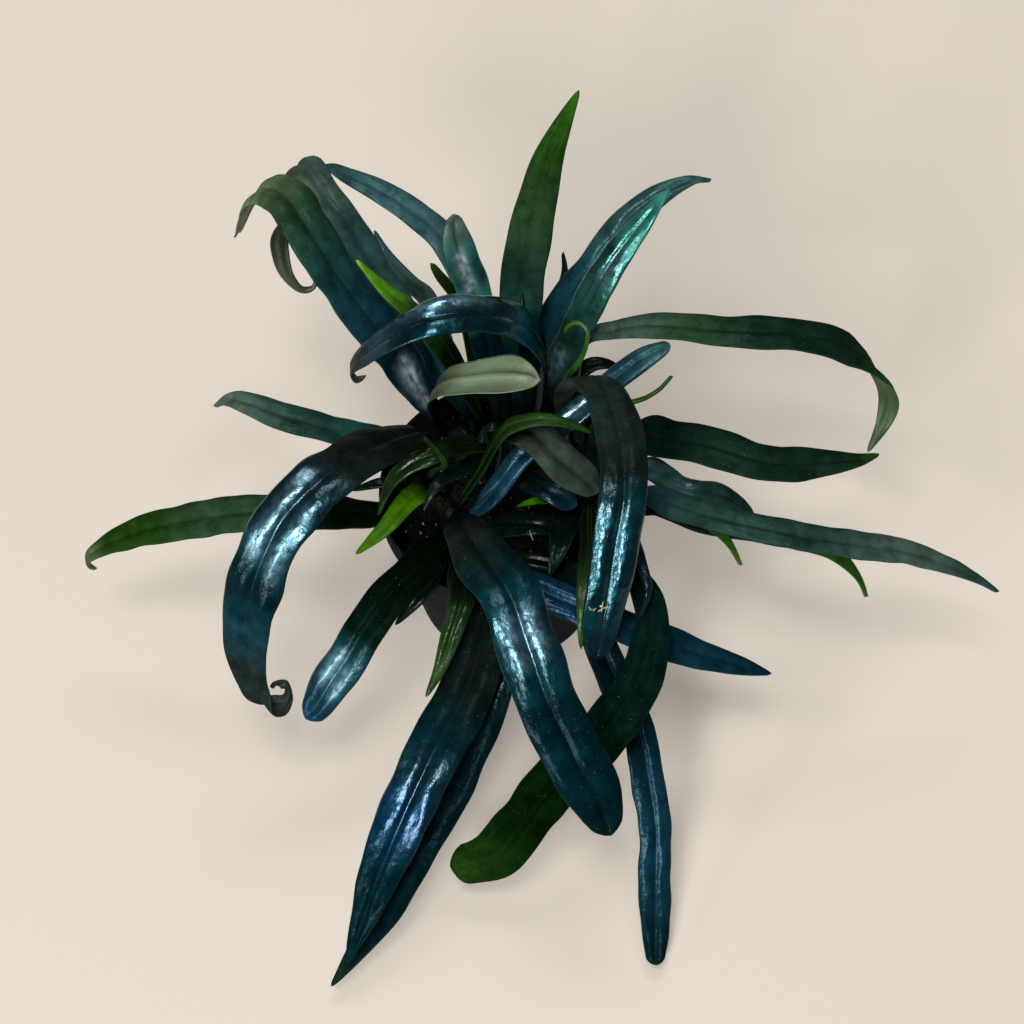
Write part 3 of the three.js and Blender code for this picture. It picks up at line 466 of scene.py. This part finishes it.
def rippling(seed, across, along, low, high, count=14):
    """Crossed waves of low to high millimetres, about one high: the unevenness of a living surface"""
    rng = np.random.default_rng(seed)
    total = 0
    for _ in range(count):
        angle, length, shift = rng.uniform(0, TAU), rng.uniform(low, high), rng.uniform(0, TAU)
        total = total + np.sin(TAU * (across * math.cos(angle) + along * math.sin(angle)) / length + shift)
    return total / math.sqrt(count / 2)


def deselect():
    bpy.ops.object.select_all(action="DESELECT")


def only(obj):
    """Selects this object alone"""
    deselect()
    obj.select_set(True)
    bpy.context.view_layer.objects.active = obj


def sheet_of(name, places, uv=None):
    """A grid primitive whose vertices are set one by one: places has rows, columns and x, y, z in mm.
    The uv lays a leaf out flat."""
    rows, columns = places.shape[:2]
    deselect()
    bpy.ops.mesh.primitive_grid_add(x_subdivisions=columns - 1, y_subdivisions=rows - 1, size=1)
    obj = bpy.context.active_object
    obj.name = obj.data.name = name
    obj.data.vertices.foreach_set("co", (places * MM).astype(np.float32).ravel())
    if uv is not None:
        corner = np.zeros(len(obj.data.loops), np.int32)
        obj.data.loops.foreach_get("vertex_index", corner)
        obj.data.uv_layers[0].data.foreach_set("uv", uv.reshape(-1, 2)[corner].astype(np.float32).ravel())
    return obj


def paint(obj, name, values, kind="FLOAT", key="value"):
    """A value, or a colour, at each vertex, read by the materials"""
    layer = obj.data.attributes.new(name, kind, "POINT")
    layer.data.foreach_set(key, np.asarray(values, np.float32).ravel())


def close(obj):
    """Welds seams and poles and turns every face outwards"""
    only(obj)
    bpy.ops.object.mode_set(mode="EDIT")
    bpy.ops.mesh.select_all(action="SELECT")
    bpy.ops.mesh.remove_doubles(threshold=0.004 * MM)
    bpy.ops.mesh.normals_make_consistent(inside=False)
    bpy.ops.object.mode_set(mode="OBJECT")
    bpy.ops.object.shade_smooth()
    return obj


# Fronds


def half_width(width, shape, fork, distance, length):
    """Half the width at each distance: the stipe's, widening to the blade's, then tapering"""
    full, taper, point, end = SHAPES[shape]
    u = distance / length
    rise = smooth((distance - STIPE_LENGTH) / max(full * length - STIPE_LENGTH, 14)) ** 0.8
    fall = 1 - (1 - end) * clamp((u - taper) / (1 - taper)) ** point
    tip = fork * 0.55 if fork else 0.8
    least = mix(STIPE_HALF, tip, smooth((u - 0.5) / 0.5))
    return least + np.maximum(0, width / 2 - least) * rise * fall


def turn(v, axis, angle):
    """v turned about the axis, row by row"""
    c, s = np.cos(angle)[:, None], np.sin(angle)[:, None]
    return v * c + np.cross(axis, v) * s + axis * np.sum(axis * v, -1, keepdims=True) * (1 - c)


def blade_frame(curve, distance, twist):
    """The directions along, across and up from the blade. The twist is the blade's turn about its
    midrib, one value or one for each point of its route."""
    along = curve.heading(distance)
    chord = curve.points[-1] - curve.points[0]
    side = np.array([-chord[1], chord[0], 0.0])
    side = side / np.linalg.norm(side)
    side = unit(side - along * (along @ side)[:, None])
    angle = np.full_like(distance, twist) if not isinstance(twist, list) else np.interp(
        distance, walked_along(curve.points), [twist[0]] * 3 + twist)
    side = turn(side, along, np.radians(angle))
    return along, side, np.cross(along, side)


def frond(index, name, width, shape, skin, foot, route, twist=0, fork=0):
    """A blade rolled from a grid: its upper face, then its lower face, and welded along one margin.
    Each half is a low pillow beside the sunken midrib, which stands out as a rib below."""
    curve = Route([(*foot, STIPE_FOOT), (*foot, SOIL_LEVEL), (*foot, STIPE_TOP), *route])
    length = curve.length
    last = float(half_width(width, shape, fork, np.array([length]), length)[0])
    bend = 0 if fork else max(2.5, last * 1.05)
    distance = np.linspace(0, length - bend, int(length / ROW_STEP))
    if bend:
        rounding = np.sin(np.linspace(0.1, math.pi / 2, TIP_ROWS))
        distance = np.append(distance, length - bend + bend * rounding)
    u = distance / length
    along, side, up = blade_frame(curve, distance, twist)

    # a is the place across the blade, from margin to margin above and back again below
    columns = max(8, 2 * round(width * 0.62))
    s = np.linspace(1, -1, columns + 1)
    upper = np.sign(s) * (0.45 * np.abs(s) ** 1.7 + 0.55 * np.sin(np.abs(s) * math.pi / 2))
    lower = upper[::-1][:: 1 if fork else 2]
    a = np.concatenate([upper, lower[1:]])
    face = np.concatenate([np.ones(len(upper)), -np.ones(len(lower) - 1)])
    rim = np.abs(a)[None, :]

    half = half_width(width, shape, fork, distance, length)
    if bend:
        half = half * np.sqrt(1 - clamp((distance - length + bend) / bend) ** 2)
    half = half[:, None]
    leafy = smooth((half - STIPE_HALF) / 3)
    phase = (u * length * TAU / WAVE_LENGTH + index * 1.7)[:, None]
    wave = WAVE_HEIGHT * half * leafy * np.where(a > 0, np.sin(phase + 2.2), np.sin(phase))
    x = a[None, :] * half
    y = distance[:, None] + 0 * x
    end = smooth((length - distance) / TIP_FADE)[:, None]
    ragged = 1 + RAGGED * rippling(index + 100, 40 * np.sign(x), y, 12, 45, 8) * leafy * end
    pillow = 4 * rim * (1 - rim)
    base = leafy * half * (ARCH * pillow - DROOP * rim ** 2) + wave * rim ** 2
    pucker = leafy * end * pillow * PUCKER * rippling(index + 200, 1.6 * x, 0.7 * y, 11, 20)
    crease = leafy * end * (WRINKLE * rippling(index + 300, x, y, 2.8, 5.5, 20) * pillow
                            - GROOVE * np.exp(-(x / GROOVE_HALF) ** 2)
                            - MARGIN_LIP * smooth((rim - 0.93) / 0.07))
    thick = mix(THICK_INSIDE, THICK_MARGIN, rim ** 2)
    stem = np.sqrt(np.maximum(0, 1 - rim ** 2)) * STIPE_THICK / 2
    top = mix(stem, base + pucker + crease + 0.3 * thick, leafy)
    keel = RIB * np.exp(-(x / RIB_HALF) ** 2) * end
    bottom = mix(-stem, base + pucker - 0.7 * thick - keel * leafy, leafy)
    lift = np.where(face > 0, top, bottom)
    lift = np.where(rim > 0.999, (top + bottom) / 2, lift)

    # the foot and a rounded tip close to a point, a forked tip to a thin edge with a notch
    shut = np.ones_like(distance)
    shut[0] = 0
    if fork:
        lift[-1] = (top[-1] + bottom[-1]) / 2
    else:
        shut[-1] = 0
    reach = half * ragged * a[None, :] * shut[:, None]
    lift = lift * shut[:, None]
    places = curve.at(distance)[:, None] + side[:, None] * reach[..., None] + up[:, None] * lift[..., None]
    if fork:
        notch = np.interp(np.abs(a), [0, 0.55, 1], [1, 0, 0.5]) * fork
        back = smooth((distance - length + NOTCH_REACH) / NOTCH_REACH)[:, None] * notch
        places = places - along[:, None] * back[..., None]

    uv = np.stack([(a[None, :] + 1) / 2 + 0 * y, u[:, None] + 0 * y], -1)
    obj = sheet_of(name + "_leaf", places, uv)
    colour = np.repeat(run_colours(RUNS.get(name, RUNS[skin]), u)[:, None], len(a), 1)
    # painted highlights: pale patches mixed into the skin colour, a little mottled
    for start, stop, middle, spread, strength, tone in PAINTED_HIGHLIGHTS.get(name, []):
        fade = 0.3 * (stop - start)
        window = (smooth((u - start) / fade) * smooth((stop - u) / fade))[:, None] * (face > 0)
        highlight_mottle = clamp(0.75 + 0.22 * rippling(index + 400, 1.3 * x, 0.8 * y, 2.4, 6, 24))
        painted_highlight = np.exp(-((a - middle) / spread) ** 2) * highlight_mottle
        colour = mix(colour, np.array(linear(SKIN[tone])), (strength * window * painted_highlight)[..., None])
    paint(obj, "skin_colour", colour, "FLOAT_COLOR", "color")
    for key, values in (("across", x), ("margin", (1 - rim) * half), ("along", y), ("leafy", leafy + 0 * x)):
        paint(obj, key, values)
    # undersides with no run of their own stay dark: painted shade
    for key, run in (("gloss", GLOSS.get(name, GLOSS[skin])),
                     ("pale_below", PALE_BELOW.get(name, [(0, 0.14)]))):
        paint(obj, key, np.interp(u, *zip(*run))[:, None] + 0 * x)
    under = np.tile((face[1:] < 0).astype(np.int32) * (skin != "young"), len(distance) - 1)
    obj.data.materials.append(LEAF[skin])
    obj.data.materials.append(UNDERSIDE)
    obj.data.polygons.foreach_set("material_index", under)
    close(obj)
    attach(obj, "root")
    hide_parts(name)


def run_colours(run, u):
    """The colours of a run at the shares u of its length"""
    at, tones = zip(*(stop.split() for stop in run.split(", ")))
    stops = np.array([linear(SKIN[tone]) for tone in tones])
    return np.stack([np.interp(u, [float(share) for share in at], stops[:, k]) for k in range(4)], -1)


# Materials


def finish_of(name):
    material = bpy.data.materials.new(name)
    material.use_nodes = True
    return material, material.node_tree, material.node_tree.nodes["Principled BSDF"]


def plug(node, sockets):
    """Sets a node's sockets to values, or links them to outputs of other nodes"""
    for key, value in sockets.items():
        if isinstance(value, bpy.types.NodeSocket):
            node.id_data.links.new(value, node.inputs[key])
        else:
            node.inputs[key].default_value = value


def add(tree, kind, sockets=None, stops=(), **settings):
    """Adds a node with its settings, its sockets' values or links, and a ramp's stops"""
    made = tree.nodes.new("ShaderNode" + kind)
    for key, value in settings.items():
        setattr(made, key, value)
    plug(made, sockets or {})
    for i, (place, tone) in enumerate(stops):
        point = made.color_ramp.elements[i] if i < 2 else made.color_ramp.elements.new(place)
        point.position = place
        point.color = linear(tone) if isinstance(tone, str) else [tone] * 3 + [1]
    return made


def leaf_skin(name, metal, roughness, coat, wax, rib):
    """The waxy skin of a living leaf, over a dark leaf flesh. The blue leaves have stacked thin
    films in their skin: they give back blue light as a soft tinted gloss, under a clear wax."""
    material, tree, shader = finish_of(name)
    place = add(tree, "TexCoord").outputs["Object"]
    skin = add(tree, "Attribute", attribute_name="skin_colour").outputs["Color"]
    across, margin, along, leafy, gloss = (
        add(tree, "Attribute", attribute_name=key).outputs["Fac"]
        for key in ("across", "margin", "along", "leafy", "gloss"))
    # soft patches, about 8 mm wide, where the skin is darker
    patches = add(tree, "TexNoise", {"Vector": place, "Scale": 120, "Detail": 3, "Roughness": 0.6}).outputs[0]
    shade = add(tree, "MapRange", {"Value": patches, 1: 0.3, 2: 0.7, 3: 0.45, 4: 1.05}).outputs[0]
    colour = add(tree, "Mix", {"Factor": 1, 6: skin, 7: shade}, data_type="RGBA",
                 blend_type="MULTIPLY").outputs[2]
    # a faint pale shoulder beside the midrib, within 1 mm of it, that shows on the greener leaves
    beside = add(tree, "Math", {0: across}, operation="ABSOLUTE").outputs[0]
    shoulder = add(tree, "ValToRGB", {"Fac": beside}, [(0, 0), (1, 0), (0.3, 0.1), (0.75, 1)]).outputs[0]
    pale = add(tree, "Math", {0: shoulder, 1: rib}, operation="MULTIPLY").outputs[0]
    # a faint paler line along the margin, under a millimetre wide
    brink = add(tree, "MapRange", {"Value": margin, 1: 0.15, 2: 0.75, 3: 0.05, 4: 0.0}).outputs[0]
    edge = add(tree, "Math", {0: brink, 1: leafy}, operation="MULTIPLY").outputs[0]
    # pale dust specks, a fifth of a millimetre wide, more of them where the wax is dull
    cells = add(tree, "TexVoronoi", {"Vector": place, "Scale": 700}, feature="F1").outputs
    speck = add(tree, "Math", {0: cells["Distance"], 1: 0.08}, operation="LESS_THAN").outputs[0]
    rare = add(tree, "MapRange", {"Value": gloss, 1: 0.05, 2: 0.8, 3: 0.82, 4: 0.97}).outputs[0]
    chosen = add(tree, "SeparateColor", {"Color": cells["Color"]}).outputs[0]
    few = add(tree, "Math", {0: chosen, 1: rare}, operation="GREATER_THAN").outputs[0]
    dust = add(tree, "Math", {0: speck, 1: few}, operation="MULTIPLY").outputs[0]
    for amount, tone in ((pale, "#7d8a63"), (edge, "#4f8480"), (dust, "#6c7876")):
        colour = add(tree, "Mix", {"Factor": amount, 6: colour, 7: linear(tone)}, data_type="RGBA").outputs[2]
    dull = add(tree, "MapRange", {"Value": patches, 1: 0.3, 2: 0.7, 3: roughness - 0.05,
                                  4: roughness + 0.07}).outputs[0]
    # fine wrinkles, 1 to 2 mm, a little longer along the leaf than across
    flat = add(tree, "CombineXYZ", {"X": across, "Y": along}).outputs[0]
    drawn = add(tree, "Mapping", {"Vector": flat, "Scale": (1, 0.7, 1)}).outputs[0]
    wrinkles = add(tree, "TexNoise", {"Vector": drawn, "Scale": 0.5, "Detail": 2}).outputs[0]
    relief = add(tree, "Bump", {"Height": wrinkles, "Strength": 1, "Distance": 0.00024}).outputs[0]
    # the films shine most where the wax does
    films = add(tree, "MapRange", {"Value": gloss, 1: 0, 2: 1, 3: metal * 0.1, 4: metal}).outputs[0]
    gleam = add(tree, "Math", {0: leafy, 1: films}, operation="MULTIPLY").outputs[0]
    waxed = add(tree, "Math", {0: gloss, 1: coat}, operation="MULTIPLY").outputs[0]
    plug(shader, {"Base Color": colour, "Roughness": dull, "Metallic": gleam, "Specular IOR Level": 0,
                  "Normal": relief, "Coat Weight": waxed, "Coat Roughness": wax, "Coat IOR": 1.4,
                  "Coat Normal": relief})
    return material


def leaf_underside():
    """The matt underside of a leaf, netted with fine veins: pale green where the leaf is folded
    over, and elsewhere darkened towards the colour of its upper skin as painted shade"""
    material, tree, shader = finish_of("leaf_underside")
    skin = add(tree, "Attribute", attribute_name="skin_colour").outputs["Color"]
    across, along, below = (add(tree, "Attribute", attribute_name=key).outputs["Fac"]
                            for key in ("across", "along", "pale_below"))
    flat = add(tree, "CombineXYZ", {"X": across, "Y": along}).outputs[0]
    net = add(tree, "TexVoronoi", {"Vector": flat, "Scale": 0.4}, feature="DISTANCE_TO_EDGE").outputs[0]
    vein = add(tree, "ValToRGB", {"Fac": net}, [(0, "#55604a"), (1, "#6f7b63"), (0.08, "#6c785f")]).outputs[0]
    cloud = add(tree, "TexNoise", {"Vector": flat, "Scale": 0.12, "Detail": 4}).outputs[0]
    shade = add(tree, "MapRange", {"Value": cloud, 1: 0.3, 2: 0.7, 3: 0.6, 4: 1.1}).outputs[0]
    # where pale_below is low the underside goes dark: painted shade
    light = add(tree, "Math", {0: below, 1: shade}, operation="MULTIPLY").outputs[0]
    tone = add(tree, "Mix", {"Factor": 1, 6: vein, 7: light}, data_type="RGBA",
               blend_type="MULTIPLY").outputs[2]
    blend = add(tree, "Mix", {"Factor": 0.5, 6: tone, 7: skin}, data_type="RGBA").outputs[2]
    relief = add(tree, "Bump", {"Height": net, "Strength": 0.6, "Distance": 0.0002}).outputs[0]
    plug(shader, {"Base Color": blend, "Roughness": 0.55, "Normal": relief})
    return material


def pot_plastic():
    """Injection-moulded black polypropylene: nearly matt, clouded with dried peat, finely grained"""
    material, tree, shader = finish_of("black_polypropylene")
    place = add(tree, "TexCoord").outputs["Object"]
    cloud = add(tree, "TexNoise", {"Vector": place, "Scale": 35, "Detail": 5, "Roughness": 0.65}).outputs[0]
    tone = add(tree, "ValToRGB", {"Fac": cloud}, [(0.3, "#101215"), (0.75, "#1a1c20")]).outputs[0]
    dull = add(tree, "MapRange", {"Value": cloud, 1: 0.3, 2: 0.7, 3: 0.55, 4: 0.7}).outputs[0]
    grain = add(tree, "TexNoise", {"Vector": place, "Scale": 1400, "Detail": 2}).outputs[0]
    relief = add(tree, "Bump", {"Height": grain, "Strength": 0.5, "Distance": 0.0001}).outputs[0]
    plug(shader, {"Base Color": tone, "Roughness": dull, "Specular IOR Level": 0.01, "Normal": relief})
    return material


def grained(name, kind, pattern, tones, roughness, shine=0.5, relief=None):
    """A matt finish whose colour, and relief where it has any, follow one pattern on the piece"""
    material, tree, shader = finish_of(name)
    place = add(tree, "TexCoord").outputs["Object"]
    grain = add(tree, kind, {"Vector": place, **pattern}).outputs[0]
    tone = add(tree, "ValToRGB", {"Fac": grain}, tones).outputs[0]
    plug(shader, {"Base Color": tone, "Roughness": roughness, "Specular IOR Level": shine})
    if relief:
        strength, depth = relief
        bump = add(tree, "Bump", {"Height": grain, "Strength": strength, "Distance": depth}).outputs[0]
        plug(shader, {"Normal": bump})
    return material


LEAF = {skin: leaf_skin(*finish) for skin, finish in LEAF_SKINS.items()}
UNDERSIDE = leaf_underside()
POT_PLASTIC = pot_plastic()
# damp dark peat: matt, black-brown, in crumbs of 1 to 4 mm, and darkened nearly to black as painted shade
# under the leaves
PEAT = grained("damp_peat", "TexNoise", {"Scale": 300, "Detail": 5, "Roughness": 0.7},
               [(0.3, "#040303"), (0.8, "#1a140d"), (0.58, "#0a0806")], 0.9, 0.1, (1, 0.0012))
# perlite and pale grit mixed into the peat: chalky white to tan grains
GRIT = grained("pale_grit", "TexNoise", {"Scale": 160, "Detail": 3},
               [(0.35, "#35331f"), (0.7, "#8a8567")], 0.85)
# the creeping rhizome: green-tan skin under thin brown scales of about 2 mm, dull and a little waxy; its
# colours are darkened nearly to black as painted shade under the leaves
RHIZOME_SKIN = grained("rhizome_skin", "TexVoronoi", {"Scale": 420},
                       [(0.1, "#15170c"), (0.8, "#070503"), (0.45, "#0e0f07")], 0.6, 0.1, (0.8, 0.0006))
# scraps of dry straw: cream, matt
STRAW = grained("dry_straw", "TexNoise", {"Scale": 700, "Detail": 2},
                [(0.3, "#6f6850"), (0.7, "#a49c80")], 0.8)


# Pot, soil and rhizome


def wall_radius(z):
    return mix(BASE_RADIUS, RIM_RADIUS - RIM_STEP, z / (POT_HEIGHT - RIM_BAND))


def lathe(name, profile):
    """A body of revolution: a ring drawn out along a profile of (radius, z), closed at its ends"""
    deselect()
    bpy.ops.mesh.primitive_circle_add(vertices=POT_SECTORS, radius=profile[0][0] * MM,
                                      location=(0, 0, profile[0][1] * MM), fill_type="NGON")
    obj = bpy.context.active_object
    obj.name = obj.data.name = name
    bpy.ops.object.transform_apply(location=True)
    bpy.ops.object.mode_set(mode="EDIT")
    bpy.ops.mesh.select_mode(type="EDGE")
    bpy.ops.mesh.select_all(action="SELECT")
    for (r0, z0), (r1, z1) in zip(profile, profile[1:]):
        bpy.ops.mesh.extrude_edges_move(TRANSFORM_OT_translate={"value": (0, 0, (z1 - z0) * MM)})
        bpy.ops.transform.resize(value=(r1 / r0, r1 / r0, 1), center_override=(0, 0, z1 * MM))
    bpy.ops.mesh.fill()
    bpy.ops.mesh.select_all(action="SELECT")
    bpy.ops.mesh.normals_make_consistent(inside=False)
    bpy.ops.object.mode_set(mode="OBJECT")
    return obj


def make_pot():
    """The profile runs from the foot ring up the outside, over the rim and down the inside"""
    under, top = POT_HEIGHT - RIM_BAND, POT_HEIGHT
    inside = RIM_RADIUS - WALL
    profile = [(BASE_RADIUS - 3, 1.2), (BASE_RADIUS - 3.6, 0), (BASE_RADIUS - 0.8, 0),
               (BASE_RADIUS - 0.15, 0.3), (BASE_RADIUS + 0.15, 1)]
    profile += [(wall_radius(z), z) for z in (8, 20, 40, 60, under - 0.6)]
    profile += [(wall_radius(under) + 0.3, under), (RIM_RADIUS - 0.6, under + 0.1),
                (RIM_RADIUS - 0.1, under + 0.6), (RIM_RADIUS, under + 1.4), (RIM_RADIUS, top - 1),
                (RIM_RADIUS - 0.2, top - 0.3), (RIM_RADIUS - 0.6, top), (inside + 0.3, top),
                (inside, top - 0.4), (inside, under + 1.6), (inside - 0.5, under + 1),
                (wall_radius(under) - WALL, under - 2), (wall_radius(40) - WALL, 40),
                (wall_radius(FLOOR_THICKNESS) - WALL, FLOOR_THICKNESS + 1),
                (wall_radius(FLOOR_THICKNESS) - WALL - 1, FLOOR_THICKNESS)]
    obj = lathe("nursery_pot", profile)
    for i in range(DRAIN_COUNT):
        angle = (i + 0.5) * TAU / DRAIN_COUNT
        deselect()
        bpy.ops.mesh.primitive_cylinder_add(vertices=24, radius=DRAIN_RADIUS * MM, depth=20 * MM, location=(
            DRAIN_RING * math.cos(angle) * MM, DRAIN_RING * math.sin(angle) * MM, 0))
        drill = bpy.context.active_object
        only(obj)
        cut = obj.modifiers.new("drain", "BOOLEAN")
        cut.operation, cut.solver, cut.object = "DIFFERENCE", "EXACT", drill
        bpy.ops.object.modifier_apply(modifier=cut.name)
        bpy.data.objects.remove(drill)
    only(obj)
    bpy.ops.object.shade_smooth_by_angle(angle=math.radians(32))
    return obj


def soil_height(x, y):
    return SOIL_LEVEL + SOIL_LUMP * np.sin(0.31 * x + 0.4 * np.sin(0.2 * y)) * np.cos(0.27 * y + 0.9)


def make_soil():
    """The peat's crumbly top, drawn down along the pot's wall to the floor and closed below"""
    edge = wall_radius(SOIL_LEVEL - 2) - WALL - 0.3
    radii = np.concatenate([np.linspace(0, edge, SOIL_RINGS), [edge, wall_radius(30) - WALL - 0.4,
                                                               wall_radius(3) - WALL - 0.4, 0]])
    r, t = np.meshgrid(radii, np.linspace(0, TAU, SOIL_SECTORS + 1))
    x, y = r * np.cos(t), r * np.sin(t)
    z = soil_height(x, y) + 0.55 * rippling(7, x, y, 3, 7, 20) + 0.4 * rippling(8, x, y, 1.6, 3, 20)
    z = np.minimum(z, SOIL_LEVEL + SOIL_TOP)
    z[:, SOIL_RINGS - 1:] = [SOIL_LEVEL - 1, SOIL_LEVEL - 3, 30, FLOOR_THICKNESS + 0.5, FLOOR_THICKNESS + 0.5]
    return close(sheet_of("potting_soil", np.stack([x, y, z], -1)))


def scattered(name, count, seed, place, sizes, slim=(0.6, 1), flat=0.7):
    """Small broken lumps, copies of one 20-sided lump with its corners moved, as one piece"""
    rng = np.random.default_rng(seed)
    deselect()
    bpy.ops.mesh.primitive_ico_sphere_add(subdivisions=1, radius=1)
    lump = bpy.context.active_object
    corners = np.array([v.co for v in lump.data.vertices])
    faces = np.array([p.vertices for p in lump.data.polygons])
    bpy.data.objects.remove(lump)
    points, sides = [], []
    for i in range(count):
        turned, _ = np.linalg.qr(rng.normal(size=(3, 3)))
        shape = corners * rng.uniform(0.7, 1.3, (len(corners), 1)) * [1, rng.uniform(*slim), flat]
        points.append(shape @ turned.T * rng.uniform(*sizes) + place(rng))
        sides.append((faces if np.linalg.det(turned) > 0 else faces[:, ::-1]) + i * len(corners))
    mesh = bpy.data.meshes.new(name)
    mesh.from_pydata((np.vstack(points) * MM).tolist(), [], np.vstack(sides).tolist())
    obj = bpy.data.objects.new(name, mesh)
    bpy.context.scene.collection.objects.link(obj)
    return obj


def on_soil(rng):
    """A place on the soil, anywhere inside the pot"""
    while True:
        x, y = rng.uniform(-SCATTER_RADIUS, SCATTER_RADIUS, 2)
        if math.hypot(x, y) < SCATTER_RADIUS:
            return np.array([x, y, float(soil_height(x, y)) + 0.6])


def on_leaf(rng):
    """A place on the arched leaf in front or the low one behind it, where scraps have fallen"""
    leaf = [39.6, -87.3, 136.9] if rng.random() < 0.6 else [9, -30.2, 101.2]
    return np.array(leaf) + rng.uniform(-1, 1, 3) * [3.5, 1.2, 1]


def make_rhizome():
    """Knobbly creeping stems, rolled from grids along the branches and half sunk in the peat"""
    parts = []
    for k, route in enumerate(RHIZOMES):
        curve = Route([(x, y, SOIL_LEVEL + 0.6 * math.sin(2 * i + k)) for i, (x, y) in enumerate(route)])
        d = np.linspace(0, curve.length, int(curve.length / 0.9))
        along = curve.heading(d)
        side = unit(np.cross(along, [0, 0, 1.0]))
        up = np.cross(side, along)
        t = np.linspace(0, TAU, 29)
        swell = 0.35 * rippling(40 + k, RHIZOME_RADIUS * t[None, :], d[:, None], 5, 12, 8)
        knob = 0.16 * rippling(50 + k, RHIZOME_RADIUS * t[None, :], d[:, None], 1.8, 3, 14)
        fade = (1 - np.cos(t)) / 2
        girth = RHIZOME_RADIUS - 0.5 + (swell + knob) * np.minimum(1, 3 * fade * (1 - fade))[None, :]
        ends = np.sqrt(clamp(1 - (1 - np.minimum(d, curve.length - d) / 4).clip(0) ** 2))
        girth = np.minimum(girth, RHIZOME_RADIUS + 0.1) * ends[:, None]
        places = curve.at(d)[:, None] + girth[..., None] * (
            side[:, None] * np.cos(t)[None, :, None] + up[:, None] * np.sin(t)[None, :, None])
        parts.append(close(sheet_of(f"branch_{k}", places)))
    only(parts[0])
    for part in parts:
        part.select_set(True)
    bpy.ops.object.join()
    obj = bpy.context.active_object
    obj.name = obj.data.name = "creeping_rhizome"
    return obj


def dress(obj, material, slot, *nodes):
    obj.data.materials.clear()
    obj.data.materials.append(material)
    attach(obj, "root")
    if nodes:
        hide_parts(*nodes)


dress(make_pot(), POT_PLASTIC, "pot_plastic", "pot")
dress(make_soil(), PEAT, "peat", "soil")
dress(scattered("peat_crumbs", 1500, 11, on_soil, (0.5, 1.5)), PEAT, "peat")
dress(scattered("soil_grit", 140, 12, on_soil, (0.4, 1.3)), GRIT, "peat")
dress(make_rhizome(), RHIZOME_SKIN, "rhizome_skin", "rhizome")
dress(scattered("straw_flecks", 7, 5, on_leaf, (1.6, 2.8), (0.12, 0.25), 0.12), STRAW, "")
for index, row in enumerate(FRONDS):
    frond(index, *row)


# The stage: a pale floor, soft studio light, and the camera of the photograph

deselect()
bpy.ops.mesh.primitive_plane_add(size=12, location=(0, 0, -0.0004))
floor = bpy.context.active_object
floor.name = "studio_floor"
floor_paint, _, floor_shader = finish_of("studio_floor_paint")
# a little light of its own, as from a lit backdrop, keeps the shadows on the floor soft
plug(floor_shader, {"Base Color": linear(FLOOR_TONE), "Roughness": 0.9,
                    "Emission Color": linear(FLOOR_TONE), "Emission Strength": FLOOR_GLOW})
floor.data.materials.append(floor_paint)

world = bpy.data.worlds.new("studio")
world.use_nodes = True
plug(world.node_tree.nodes["Background"], {"Color": SKY_TONE, "Strength": SKY_STRENGTH})
bpy.context.scene.world = world


def softbox(name, towards, distance, size, power):
    """An area light out along a direction from the middle of the plant, facing it"""
    light = bpy.data.lights.new(name, "AREA")
    light.shape, light.size, light.size_y = "RECTANGLE", *size
    light.energy = power
    obj = bpy.data.objects.new(name, light)
    obj.location = np.array(PLANT_MIDDLE) + unit(np.array(towards)) * distance
    inwards = type(obj.location)(PLANT_MIDDLE) - obj.location
    obj.rotation_euler = inwards.to_track_quat("-Z", "Y").to_euler()
    bpy.context.scene.collection.objects.link(obj)


softbox("key", (-0.28, -0.745, 0.6), 6.0, (1.4, 1.4), 360)
softbox("side", (-0.68, -0.67, 0.28), 6.0, (1.1, 1.3), 180)
softbox("top", (-0.1, -0.25, 0.96), 5.0, (1.4, 1.1), 170)
softbox("back", (0.0, 0.42, 0.9), 5.0, (2.2, 1.3), 110)

# the photograph's own colours, without a film-like curve over them
bpy.context.scene.view_settings.view_transform = "Standard"

camera = bpy.data.cameras.new("photo_camera")
camera.sensor_width = 36
camera.lens = CAMERA_LENS
holder = bpy.data.objects.new("photo_camera", camera)
holder.location = CAMERA_PLACE
holder.rotation_euler = (math.radians(CAMERA_TILT), 0, 0)
bpy.context.scene.collection.objects.link(holder)
bpy.context.scene.camera = holder
